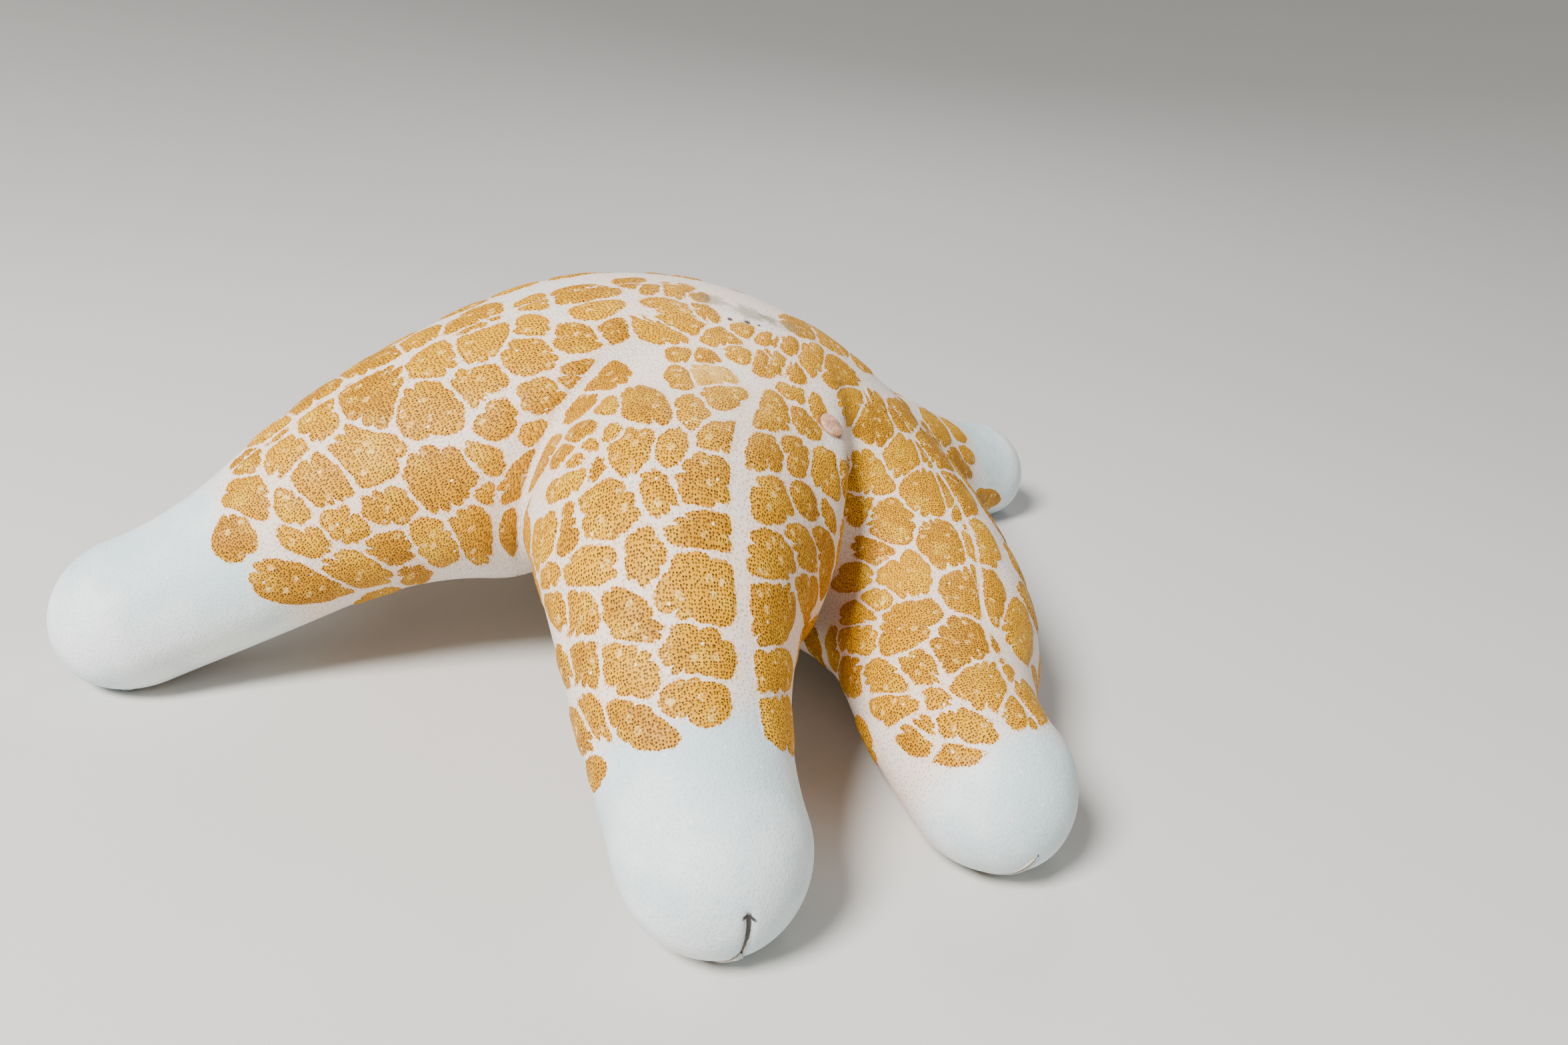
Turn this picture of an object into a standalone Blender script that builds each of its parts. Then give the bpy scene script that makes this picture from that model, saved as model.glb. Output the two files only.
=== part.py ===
# A live sea star in a draped pose: a raised disc and five stout arms bent down to the floor.
# The body is worked out flat, with its middle at the origin and each arm along its own line,
# and every point is then carried into the pose by the curve that its arm follows.
import math

import bmesh
import bpy
import numpy as np

# Driving sizes of the animal laid out flat, in metres
ARM_COUNT = 5
REACH = 0.1394                # middle of the disc to the end of an arm
BASE_HALF_WIDTH = 0.0378      # an arm where it leaves the disc
TIP_HALF_WIDTH = 0.0164       # the same arm near its round end
TAPER_START = 0.010
TOP_SHARES = (0.90, 1.00)     # height above the axis over the half width, at the base and the end
BOTTOM_SHARES = (0.71, 0.82)  # depth below the axis, the same way
FILLET = 0.0087               # how softly neighbouring arms run into each other
SOLE_DEPTH = 0.0155           # the underside is flattened at this depth below the axis
SOLE_ROUNDING = 0.005
GROOVE_HALF_WIDTH = 0.0038    # groove along the middle of each arm's underside
GROOVE_FLOOR = 0.0022         # half width of the groove's floor
GROOVE_DEPTH = 0.006
GROOVE_TAPER_START = 0.085    # from here the groove narrows to a fine slit at the arm's end
GROOVE_END_SHARE = 0.25       # of its full width and depth
MOUTH_RADIUS = 0.013
MOUTH_DEPTH = 0.008
GAP = 0.0003                  # between neighbouring pieces of the body

# Where the body is parted, as distances from the middle
DISC_EDGE = 0.034
MIDDLE_START = 0.066
TIP_START = 0.100

# Fineness of the mesh
ROW_STEP = 0.0050             # between the rings of vertices along an arm
DISC_ROWS = 7
NOTCH_ROWS = 5                # on each side of the notch between two arms
END_ROWS = 6                  # over an arm's round end
TOP_COLUMNS = 14
SIDE_COLUMNS = 4              # from the groove's lip to the arm's side
RAY_LENGTH = 0.090
RAY_HALVINGS = 26
MERGE = 0.00002

# Pose: how the arms hang, in degrees. Droop is the slope of the arm's axis at three places
# along it, and sweep is how far its heading has turned sideways at the same places.
PLACES = (0.0157, 0.0529, 0.0899, 0.1268)
FRONT_HEADING = -81.1
TILT_X = -5.5
TILT_Y = 16.4
AXIS_HEIGHT = 0.0309          # the disc's axis plane above the floor
PRESS = 0.0012                # how far each arm is flattened where it rests
ARMS = (
    ("front", (-7.3, 34.2, 26.2), (-15.7, 15.3, 28.4)),
    ("right", (-2.1, 2.2, -0.2), (-40.0, -83.0, -49.9)),
    ("back_right", (-13.3, -3.8, -8.5), (-24.0, -21.0, -23.0)),
    ("back_left", (14.8, 33.6, 22.5), (1.6, 0.0, -0.3)),
    ("left", (22.7, 48.7, 36.2), (8.9, 7.0, 1.4)),
)
CURVE_STEP = 0.001
CURVE_LENGTH = 0.160
SMOOTHING = 25                # curve steps over which the droop is evened out
PURE_SECTOR = 22.0            # degrees each side of an arm's line that follow that arm alone
BLENDED_SECTOR = 50.0
SETTLE_ROUNDS = 30
SETTLE_LIMIT = 25.0           # degrees of droop that settling may add or take away
SETTLE_SHARES = (0.5, 1.0, 1.0)

# Tube feet: two rows of suckers in each groove
FOOT_STEP = 0.0071
FOOT_MARGIN = 0.0035          # from a parting to the nearest foot
FOOT_START = 0.0165           # the first foot stands one margin further from the middle
FOOT_OFFSET = 0.00115         # each side of the groove's middle
FOOT_RADIUS = 0.0007
SUCKER_RADIUS = 0.00088
SUCKER_LENGTH = 0.0007
FOOT_SIDES = 5
FOOT_ROOT = 0.0012            # how deep a foot is rooted above the groove's floor
FOOT_CLEARANCE = 0.0010       # from a sucker to the level of the sole

# The sieve plate on the back, beside the notch between the front and the right arm, and the
# mouth's skin under the disc
SIEVE_RADIUS = 0.0027
SIEVE_PLACE = 0.0464          # from the middle
SIEVE_HEADING = 22.4          # degrees from the front arm's line
SIEVE_THICKNESS = 0.0030
SIEVE_RISE = 0.0003
MOUTH_SKIN_RADIUS = 0.0052
MOUTH_SKIN_THICKNESS = 0.0022
ROUND_SIDES = 20

FLESH = (0.66, 0.55, 0.42, 1.0)
PALE_END = (0.80, 0.80, 0.80, 1.0)
SIEVE_COLOUR = (0.58, 0.36, 0.24, 1.0)
MOUTH_COLOUR = (0.60, 0.42, 0.36, 1.0)

GROOVE_COLUMN = TOP_COLUMNS + 1 + SIDE_COLUMNS + 2   # of a ring's points, the groove's middle
HALF_SECTOR = math.pi / ARM_COUNT
STRAIGHT_END = REACH - TIP_HALF_WIDTH
ARM_LINES = 2 * HALF_SECTOR * np.arange(ARM_COUNT)


def clear_scene():
    for item in list(bpy.data.objects):
        bpy.data.objects.remove(item, do_unlink=True)


def make_material(name, colour, roughness):
    material = bpy.data.materials.new(name)
    material.use_nodes = True
    shader = material.node_tree.nodes["Principled BSDF"]
    shader.inputs["Base Color"].default_value = colour
    shader.inputs["Roughness"].default_value = roughness
    shader.inputs["Metallic"].default_value = 0.0
    return material


def ease(value):
    value = np.clip(value, 0.0, 1.0)
    return value * value * (3.0 - 2.0 * value)


def along_arm(along, at_base, at_end):
    share = ease((along - TAPER_START) / (STRAIGHT_END - TAPER_START))
    return at_base + (at_end - at_base) * share


def turn_flat(points, angle):
    turned = points.copy()
    turned[..., 0] = points[..., 0] * math.cos(angle) - points[..., 1] * math.sin(angle)
    turned[..., 1] = points[..., 0] * math.sin(angle) + points[..., 1] * math.cos(angle)
    return turned


def body_distance(points):
    # Below zero inside the flat body: five tapering rounded arms run softly into one another,
    # and a soft plane cuts their underside flat.
    total = np.zeros(points.shape[:-1])
    for line in ARM_LINES:
        local = turn_flat(points, -line)
        along, across, height = local[..., 0], local[..., 1], local[..., 2]
        above = height / along_arm(along, *TOP_SHARES)
        below = height / along_arm(along, *BOTTOM_SHARES)
        raised = np.where(height > 0.0, above, below)
        beyond = np.maximum(0.0, along - STRAIGHT_END) + np.maximum(0.0, -along)
        radius = np.sqrt(across ** 2 + raised ** 2 + beyond ** 2)
        width = along_arm(along, BASE_HALF_WIDTH, TIP_HALF_WIDTH)
        total += np.exp((width - radius) / FILLET)
    rounded = -FILLET * np.log(total)
    sole = -SOLE_DEPTH - points[..., 2]
    share = np.clip(0.5 + 0.5 * (rounded - sole) / SOLE_ROUNDING, 0.0, 1.0)
    return sole + (rounded - sole) * share + SOLE_ROUNDING * share * (1.0 - share)


def surface_along(starts, directions):
    near = np.zeros(starts.shape[:-1])
    far = np.full(starts.shape[:-1], RAY_LENGTH)
    for _ in range(RAY_HALVINGS):
        middle = (near + far) / 2.0
        inside = body_distance(starts + directions * middle[..., None]) < 0.0
        near = np.where(inside, middle, near)
        far = np.where(inside, far, middle)
    return starts + directions * ((near + far) / 2.0)[..., None]


def notch_place():
    # Distance along an arm's line of the notch between two arms
    outward = np.array([[math.cos(HALF_SECTOR), math.sin(HALF_SECTOR), 0.0]])
    return float(surface_along(np.zeros((1, 3)), outward)[0, 0])


NOTCH = notch_place()


def fan_angles(place, gap):
    # Angles from straight up, top and bottom, at which a cross-section's rays leave its middle.
    # Inside the notch the outermost rays meet the plane shared with the next arm.
    limits = []
    for side in (1.0, -1.0):
        limit = math.pi / 2.0
        if place < NOTCH:
            reach = max(0.0, place * math.tan(HALF_SECTOR) - gap / 2.0 / math.cos(HALF_SECTOR))
            start = np.array([[place, reach, 0.0]])
            edge = surface_along(start, np.array([[0.0, 0.0, side]]))[0]
            limit = math.atan2(reach, abs(edge[2]))
        limits.append(limit)
    return limits


def groove_fade(place):
    # The groove opens out of the mouth
    return float(ease((place - MOUTH_RADIUS * 0.4) / (MOUTH_RADIUS * 0.6)))


def groove_share(place):
    # Of the groove's full width and depth
    taper = float(ease((place - GROOVE_TAPER_START) / (STRAIGHT_END - GROOVE_TAPER_START)))
    return 1.0 + (GROOVE_END_SHARE - 1.0) * taper


def cross_section(place, gap=0.0, lift=0.0):
    # One ring of the flat body across an arm: left to right over the top, then back underneath.
    # Lift turns the ring over the arm's round end, a quarter turn at the very tip.
    top_limit, bottom_limit = fan_angles(place, gap)
    depth = SOLE_DEPTH + SOLE_ROUNDING / 4.0
    lip = min(math.atan(GROOVE_HALF_WIDTH * groove_share(place) / depth), 0.60 * bottom_limit)
    floor = min(math.atan(GROOVE_FLOOR * groove_share(place) / depth), 0.35 * bottom_limit)
    top = np.linspace(-top_limit, top_limit, TOP_COLUMNS + 1)
    side = np.linspace(bottom_limit, lip, SIDE_COLUMNS + 1)
    under = np.concatenate([side, [floor, 0.0, -floor], -side[::-1]])
    angles = np.concatenate([top, math.pi - under])
    directions = np.stack([
        np.full(len(angles), math.sin(lift)),
        math.cos(lift) * np.sin(angles),
        math.cos(lift) * np.cos(angles),
    ], -1)
    starts = np.zeros((len(angles), 3))
    starts[:, 0] = place
    ring = surface_along(starts, directions)
    sink = GROOVE_DEPTH * groove_share(place) * groove_fade(place) * math.cos(lift)
    floor_columns = slice(GROOVE_COLUMN - 1, GROOVE_COLUMN + 2)
    ring[floor_columns] -= directions[floor_columns] * sink
    from_middle = np.hypot(ring[:, 0], ring[:, 1])
    pit = MOUTH_DEPTH * (1.0 - ease(from_middle / MOUTH_RADIUS))
    ring[TOP_COLUMNS + 1:, 2] += pit[TOP_COLUMNS + 1:]
    return ring


def arm_curve(droops, sweeps, line):
    # The arm's axis as points with a forward, a sideways and an upward direction at each
    along = np.arange(0.0, CURVE_LENGTH, CURVE_STEP)
    places = np.array(PLACES)
    droop = np.interp(along, places, np.radians((0.0,) + tuple(droops)))
    sweep = np.interp(along, places, np.radians((0.0,) + tuple(sweeps)))
    window = np.hanning(SMOOTHING + 2)[1:-1]
    window = window / window.sum()
    half = SMOOTHING // 2
    droop = np.convolve(np.pad(droop, half, mode="edge"), window, "valid")
    sweep = np.convolve(np.pad(sweep, half, mode="edge"), window, "valid")
    heading = line + sweep
    level = np.zeros(len(along))
    ahead = np.stack([np.cos(heading), np.sin(heading), level], -1)
    forward = ahead * np.cos(droop)[:, None]
    forward[:, 2] = -np.sin(droop)
    up = ahead * np.sin(droop)[:, None]
    up[:, 2] = np.cos(droop)
    sideways = np.stack([-np.sin(heading), np.cos(heading), level], -1)
    steps = (forward[1:] + forward[:-1]) / 2.0 * CURVE_STEP
    axis = np.concatenate([np.zeros((1, 3)), np.cumsum(steps, 0)])
    return along, axis, forward, sideways, up


def tilt_matrix():
    turn = math.radians(FRONT_HEADING)
    x_angle = math.radians(TILT_X)
    y_angle = math.radians(TILT_Y)
    about_z = np.array([
        [math.cos(turn), -math.sin(turn), 0.0],
        [math.sin(turn), math.cos(turn), 0.0],
        [0.0, 0.0, 1.0],
    ])
    about_x = np.array([
        [1.0, 0.0, 0.0],
        [0.0, math.cos(x_angle), -math.sin(x_angle)],
        [0.0, math.sin(x_angle), math.cos(x_angle)],
    ])
    about_y = np.array([
        [math.cos(y_angle), 0.0, math.sin(y_angle)],
        [0.0, 1.0, 0.0],
        [-math.sin(y_angle), 0.0, math.cos(y_angle)],
    ])
    return about_y @ about_x @ about_z


def carry(points, curves):
    # Flat points into the pose. Near the line between two arms both arms' curves share the point.
    heading = np.arctan2(points[:, 1], points[:, 0])
    carried = np.zeros(points.shape)
    total = np.zeros(len(points))
    for line, (along, axis, forward, sideways, up) in zip(ARM_LINES, curves):
        away = np.abs((heading - line + math.pi) % (2.0 * math.pi) - math.pi)
        spread = BLENDED_SECTOR - PURE_SECTOR
        weight = 1.0 - ease((np.degrees(away) - PURE_SECTOR) / spread)
        local = turn_flat(points, -line)
        frames = []
        for directions in (axis, forward, sideways, up):
            columns = [np.interp(local[:, 0], along, directions[:, i]) for i in range(3)]
            frames.append(np.stack(columns, -1))
        behind = np.minimum(local[:, 0], 0.0)[:, None]
        placed = frames[0] + behind * frames[1]
        placed += local[:, 1:2] * frames[2] + local[:, 2:3] * frames[3]
        carried += weight[:, None] * placed
        total += weight
    carried = (carried / total[:, None]) @ tilt_matrix().T
    carried[:, 2] += AXIS_HEIGHT
    return carried


def end_rows():
    # Lift of each ring over an arm's round end
    return np.linspace(0.0, math.pi / 2.0, END_ROWS + 1)[1:]


def places_between(start, end):
    # Even steps along an arm, closing up towards the notch where the outline turns sharply
    if not start < NOTCH < end:
        return np.linspace(start, end, math.ceil((end - start) / ROW_STEP) + 1)
    remaining = np.linspace(1.0, 0.0, NOTCH_ROWS + 1) ** 2
    inner = NOTCH - (NOTCH - start) * remaining
    outer = NOTCH + (end - NOTCH) * np.linspace(0.0, 1.0, NOTCH_ROWS + 1)[1:] ** 1.5
    return np.concatenate([inner, outer])


def length_rings(start, end):
    # The rings of one length of an arm, over its round end where it has one
    rounded = end >= REACH
    last = STRAIGHT_END if rounded else end - GAP / 2.0
    rings = [cross_section(place, GAP) for place in places_between(start + GAP / 2.0, last)]
    if rounded:
        rings += [cross_section(STRAIGHT_END, GAP, lift) for lift in end_rows()]
    return rings


def settled_curves():
    # Each arm's droop is eased until its lowest point is just under the floor
    curves = [arm_curve(droops, sweeps, line) for (_, droops, sweeps), line in zip(ARMS, ARM_LINES)]
    end = np.concatenate(length_rings(TIP_START, REACH))
    for index, (_, droops, sweeps) in enumerate(ARMS):
        outline = turn_flat(end, ARM_LINES[index])
        low, high = -SETTLE_LIMIT, SETTLE_LIMIT
        for _ in range(SETTLE_ROUNDS):
            extra = (low + high) / 2.0
            eased = [droop + extra * share for droop, share in zip(droops, SETTLE_SHARES)]
            curves[index] = arm_curve(eased, sweeps, ARM_LINES[index])
            if carry(outline, curves)[:, 2].min() < -PRESS:
                high = extra
            else:
                low = extra
    return curves


def floor_middle(curves):
    # The middle of the five arms' reach over the floor, which becomes the origin
    end = np.concatenate(length_rings(TIP_START, REACH))
    posed = np.concatenate([carry(turn_flat(end, line), curves) for line in ARM_LINES])
    middle = (posed.min(0) + posed.max(0)) / 2.0
    middle[2] = 0.0
    return middle


def pose(points, curves, middle):
    posed = carry(points, curves) - middle
    posed[:, 2] = np.maximum(posed[:, 2], 0.0)
    return posed


def make_object(name, points, faces, material):
    mesh = bpy.data.meshes.new(name)
    mesh.from_pydata([tuple(point) for point in points], [], faces)
    solid = bmesh.new()
    solid.from_mesh(mesh)
    bmesh.ops.remove_doubles(solid, verts=solid.verts, dist=MERGE)
    bmesh.ops.dissolve_degenerate(solid, edges=solid.edges, dist=MERGE / 2.0)
    bmesh.ops.recalc_face_normals(solid, faces=solid.faces)
    solid.to_mesh(mesh)
    solid.free()
    mesh.materials.append(material)
    mesh.shade_smooth()
    mesh.set_sharp_from_angle(angle=math.radians(40.0))
    made = bpy.data.objects.new(name, mesh)
    bpy.context.scene.collection.objects.link(made)
    return made


def evaluated_mesh(target):
    # A new mesh of the object with its modifiers applied
    graph = bpy.context.evaluated_depsgraph_get()
    return bpy.data.meshes.new_from_object(target.evaluated_get(graph))


def is_closed(mesh):
    solid = bmesh.new()
    solid.from_mesh(mesh)
    closed = all(len(edge.link_faces) == 2 for edge in solid.edges)
    solid.free()
    return closed


def loft_faces(ring_count, ring_size):
    # Two triangles for each step between one ring and the next. The last column is split the
    # other way, so that the walls of two neighbouring arms match.
    faces = []
    for row in range(ring_count - 1):
        for column in range(ring_size):
            a = row * ring_size + column
            b = row * ring_size + (column + 1) % ring_size
            c = b + ring_size
            d = a + ring_size
            if column < ring_size - 1:
                faces += [(a, b, c), (a, c, d)]
            else:
                faces += [(a, b, d), (b, c, d)]
    return faces


def cap_faces(first, ring_size, centre):
    return [(first + i, first + (i + 1) % ring_size, centre) for i in range(ring_size)]


def build_foot(place, side, line, shape, material):
    # One tube foot: a short tube from inside the groove's floor, with a wider sucker at its end
    share = groove_share(place)
    floor = cross_section(place)[GROOVE_COLUMN, 2]
    end = floor - GROOVE_DEPTH * share + FOOT_CLEARANCE
    turns = 2.0 * math.pi * np.arange(FOOT_SIDES) / FOOT_SIDES
    circle = np.stack([np.cos(turns), np.sin(turns), np.zeros(FOOT_SIDES)], -1)
    middle = np.array([place, side * FOOT_OFFSET * share, 0.0])
    rings = []
    for radius, height in (
        (FOOT_RADIUS, floor + FOOT_ROOT),
        (FOOT_RADIUS, end + SUCKER_LENGTH),
        (SUCKER_RADIUS, end),
    ):
        rings.append(middle + circle * radius * share + np.array([0.0, 0.0, height]))
    ends = middle + np.array([[0.0, 0.0, floor + FOOT_ROOT], [0.0, 0.0, end]])
    faces = loft_faces(len(rings), FOOT_SIDES)
    faces += cap_faces(0, FOOT_SIDES, FOOT_SIDES * len(rings))
    faces += cap_faces(FOOT_SIDES * (len(rings) - 1), FOOT_SIDES, FOOT_SIDES * len(rings) + 1)
    points = turn_flat(np.concatenate(rings + [ends]), line)
    return make_object("foot", pose(points, *shape), faces, material)


def add_feet(target, start, end, lines, shape, material):
    # The tube feet between two places along some arms grow out of the target as one surface
    group = bpy.data.collections.new("feet")
    bpy.context.scene.collection.children.link(group)
    for line in lines:
        for place in np.arange(start + FOOT_MARGIN, end - FOOT_MARGIN / 2.0, FOOT_STEP):
            for side in (-1.0, 1.0):
                foot = build_foot(place, side, line, shape, material)
                bpy.context.scene.collection.objects.unlink(foot)
                group.objects.link(foot)
    modifier = target.modifiers.new("feet", "BOOLEAN")
    modifier.operation = "UNION"
    modifier.operand_type = "COLLECTION"
    modifier.collection = group
    for solver in ("EXACT", "MANIFOLD"):
        modifier.solver = solver
        united = evaluated_mesh(target)
        if is_closed(united):
            break
    target.modifiers.clear()
    target.data = united
    for foot in list(group.objects):
        bpy.data.objects.remove(foot, do_unlink=True)
    bpy.data.collections.remove(group)


def build_length(name, index, start, end, shape, material):
    # One length of an arm with a flat face at each parting, or the arm's round end
    rings = length_rings(start, end)
    size = len(rings[0])
    faces = loft_faces(len(rings), size)
    centres = [(start + GAP / 2.0, 0.0, 0.0)]
    faces += cap_faces(0, size, size * len(rings))
    if end < REACH:
        centres.append((end - GAP / 2.0, 0.0, 0.0))
        faces += cap_faces(size * (len(rings) - 1), size, size * len(rings) + 1)
    points = turn_flat(np.concatenate(rings + [np.array(centres)]), ARM_LINES[index])
    made = make_object(name, pose(points, *shape), faces, material)
    if end < REACH:
        add_feet(made, start, end, ARM_LINES[index:index + 1], shape, material)
    return made


def build_disc(shape, material):
    # Five wedges from the middle out to the arms' first faces, merged along their shared edges
    points = []
    faces = []
    top = TOP_COLUMNS + 1
    for line in ARM_LINES:
        places = np.linspace(0.0, DISC_EDGE - GAP / 2.0, DISC_ROWS + 1)
        rings = [cross_section(place) for place in places]
        size = len(rings[0])
        first = len(points)
        centre = np.array([[places[-1], 0.0, 0.0]])
        points += list(turn_flat(np.concatenate(rings + [centre]), line))
        for row in range(DISC_ROWS):
            for column in list(range(top - 1)) + list(range(top, size - 1)):
                a = first + row * size + column
                faces += [(a, a + 1, a + 1 + size), (a, a + 1 + size, a + size)]
        faces += cap_faces(first + DISC_ROWS * size, size, first + (DISC_ROWS + 1) * size)
    disc = make_object("disc", pose(np.array(points), *shape), faces, material)
    add_feet(disc, FOOT_START, DISC_EDGE, ARM_LINES, shape, material)
    return disc


def local_frame(flat_point, shape, side):
    # Where a point of the flat surface lands in the pose, and the surface's outward direction
    step = 0.002
    x, y = flat_point
    starts = np.array([[x, y, 0.0], [x + step, y, 0.0], [x, y + step, 0.0]])
    found = surface_along(starts, np.tile([0.0, 0.0, side], (3, 1)))
    placed = pose(found, *shape)
    outward = np.cross(placed[1] - placed[0], placed[2] - placed[0]) * side
    return placed[0], outward / np.linalg.norm(outward)


def plate_rings(radius, bottom, top, rise):
    # A round plate: flat underneath, straight sides and a slightly raised back
    return ((radius, bottom), (radius, top), (radius * 0.75, top + rise * 0.6), (radius * 0.4, top + rise))


def build_plate(name, origin, outward, rings, material):
    across = np.cross(outward, [1.0, 0.0, 0.0])
    across /= np.linalg.norm(across)
    other = np.cross(outward, across)
    turns = 2.0 * math.pi * np.arange(ROUND_SIDES) / ROUND_SIDES
    circle = np.cos(turns)[:, None] * across + np.sin(turns)[:, None] * other
    points = [origin + radius * circle + height * outward for radius, height in rings]
    ends = [origin + rings[0][1] * outward, origin + rings[-1][1] * outward]
    faces = loft_faces(len(rings), ROUND_SIDES)
    faces += cap_faces(0, ROUND_SIDES, ROUND_SIDES * len(rings))
    faces += cap_faces(ROUND_SIDES * (len(rings) - 1), ROUND_SIDES, ROUND_SIDES * len(rings) + 1)
    return make_object(name, np.concatenate(points + [np.array(ends)]), faces, material)


def cut(target, cutter):
    # The cutter's space is taken out of the target and the cutter removed
    modifier = target.modifiers.new("pocket", "BOOLEAN")
    modifier.operation = "DIFFERENCE"
    modifier.solver = "EXACT"
    modifier.object = cutter
    mesh = evaluated_mesh(target)
    target.modifiers.clear()
    target.data = mesh
    bpy.data.objects.remove(cutter, do_unlink=True)


def build_sieve_plate(arm, shape, material):
    heading = math.radians(SIEVE_HEADING)
    place = (SIEVE_PLACE * math.cos(heading), SIEVE_PLACE * math.sin(heading))
    origin, outward = local_frame(place, shape, 1.0)
    pocket = plate_rings(SIEVE_RADIUS + GAP, -SIEVE_THICKNESS, 0.010, 0.0005)
    cut(arm, build_plate("pocket", origin, outward, pocket, material))
    plate = plate_rings(SIEVE_RADIUS, GAP - SIEVE_THICKNESS, 0.0002, SIEVE_RISE)
    return build_plate("sieve_plate", origin, outward, plate, material)


def build_mouth_skin(disc, shape, material):
    origin, outward = local_frame((0.0, 0.0), shape, -1.0)
    origin = origin - MOUTH_DEPTH * outward
    pocket = plate_rings(MOUTH_SKIN_RADIUS + GAP, -MOUTH_SKIN_THICKNESS, 0.012, 0.0005)
    cut(disc, build_plate("pocket", origin, outward, pocket, material))
    skin = plate_rings(MOUTH_SKIN_RADIUS, GAP - MOUTH_SKIN_THICKNESS, 0.0002, 0.0008)
    return build_plate("mouth_skin", origin, outward, skin, material)


def build_star():
    clear_scene()
    flesh = make_material("flesh", FLESH, 0.5)
    pale = make_material("pale_end", PALE_END, 0.5)
    curves = settled_curves()
    shape = (curves, floor_middle(curves))
    disc = build_disc(shape, flesh)
    build_mouth_skin(disc, shape, make_material("mouth", MOUTH_COLOUR, 0.45))
    for index, (name, _, _) in enumerate(ARMS):
        base = build_length(f"arm_{name}_base", index, DISC_EDGE, MIDDLE_START, shape, flesh)
        if name == "front":
            build_sieve_plate(base, shape, make_material("sieve", SIEVE_COLOUR, 0.6))
        build_length(f"arm_{name}_middle", index, MIDDLE_START, TIP_START, shape, flesh)
        build_length(f"arm_{name}_tip", index, TIP_START, REACH, shape, pale)


build_star()
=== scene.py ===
import math

import bmesh
import bpy
import numpy as np
from mathutils import Matrix, Vector


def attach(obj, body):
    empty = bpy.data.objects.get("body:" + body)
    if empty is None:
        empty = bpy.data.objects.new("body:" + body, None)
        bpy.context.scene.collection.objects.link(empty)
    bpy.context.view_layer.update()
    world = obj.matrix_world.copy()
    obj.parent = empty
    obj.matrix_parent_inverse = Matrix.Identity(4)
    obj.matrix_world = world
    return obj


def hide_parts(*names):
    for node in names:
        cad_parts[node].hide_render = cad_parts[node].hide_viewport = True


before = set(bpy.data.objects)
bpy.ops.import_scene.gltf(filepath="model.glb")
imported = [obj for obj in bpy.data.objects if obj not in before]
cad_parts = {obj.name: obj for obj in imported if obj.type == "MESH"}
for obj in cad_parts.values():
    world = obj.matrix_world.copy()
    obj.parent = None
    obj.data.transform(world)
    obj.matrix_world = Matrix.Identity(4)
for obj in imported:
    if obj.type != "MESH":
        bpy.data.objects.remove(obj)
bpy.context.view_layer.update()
print("frame loaded")

# The star laid out flat: five tapering arms round a raised middle, in metres
starForm = {
    "armCount": 5,
    "baseHalfWidth": 0.0378,
    "tipHalfWidth": 0.0164,
    "straightEnd": 0.1230,      # where an arm's round end begins
    "taperStart": 0.010,
    "topShares": (0.90, 1.00),  # height over half width, at the base and at the end
    "bottomShares": (0.71, 0.82),
    "fillet": 0.0087,
    "soleDepth": 0.0155,
    "soleRounding": 0.005,
    "grooveHalf": 0.0038,
    "grooveFloor": 0.0022,
    "grooveDepth": 0.006,
    "grooveTaper": 0.085,       # from here the groove narrows to a slit at the arm's end
    "grooveEnd": 0.25,          # the slit's share of the full width and depth
    "lipShare": 0.60,           # the groove's edge and floor stay within these shares of the
    "floorShare": 0.35,         # underside's half width
    "mouthRadius": 0.013,
    "mouthEdge": 0.4,           # the share of that radius where the grooves open into it
    "mouthDepth": 0.008,
}

# How the arms hang: name, droop and sweep of the arm's line in degrees at the last three places
starPose = {
    "places": (0.0157, 0.0529, 0.0899, 0.1268),
    "arms": (
        ("front", (-7.44613, 33.90774, 25.90774), (-15.7, 15.3, 28.4)),
        ("right", (1.115, 8.63, 6.23), (-40.0, -83.0, -49.9)),
        ("backRight", (-13.27536, -3.75073, -8.45073), (-24.0, -21.0, -23.0)),
        ("backLeft", (14.80145, 33.60289, 22.50289), (1.6, 0.0, -0.3)),
        ("left", (22.68077, 48.66154, 36.16154), (8.9, 7.0, 1.4)),
    ),
    "frontHeading": -81.1,
    "tiltX": -5.5,
    "tiltY": 16.4,
    "axisHeight": 0.0309,
    "pureSector": 22.0,
    "blendedSector": 50.0,
    "middle": (-0.009223855, -0.012452182, 0.0),
    "lineLength": 0.160,
    "lineStep": 0.001,
    "lineWindow": 27,           # steps over which the line's bends are evened out
}

# Fineness of the skin's grid
skinGrid = {
    "rowStep": 0.00115,
    "evenUntil": 0.040,     # rows close up from here to the notch between two arms
    "closingRows": 16,
    "openingRows": 10,
    "openingLength": 0.008,
    "endRows": 22,
    "topColumns": 88,
    "sideColumns": 13,
    "halvings": 30,
    "rayLength": 0.090,
}

halfSector = math.pi / starForm["armCount"]
grooveColumn = skinGrid["sideColumns"] + 5      # of the underside's columns, the groove's middle
armLines = 2.0 * halfSector * np.arange(starForm["armCount"])


def easeIn(value, start=0.0, run=1.0):
    # three t squared less two t cubed, where t goes from 0 to 1 over the run
    share = np.clip((value - start) / run, 0.0, 1.0)
    return share * share * (3.0 - 2.0 * share)


def unit(vector):
    return vector / np.linalg.norm(vector)


def fullTurn(count):
    # evenly spaced angles once round
    return np.linspace(0.0, 2.0 * math.pi, count, endpoint=False)


def alongArm(along, atBase, atEnd):
    # a value that eases from the arm's base to its round end
    start = starForm["taperStart"]
    return atBase + (atEnd - atBase) * easeIn(along, start, starForm["straightEnd"] - start)


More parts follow.
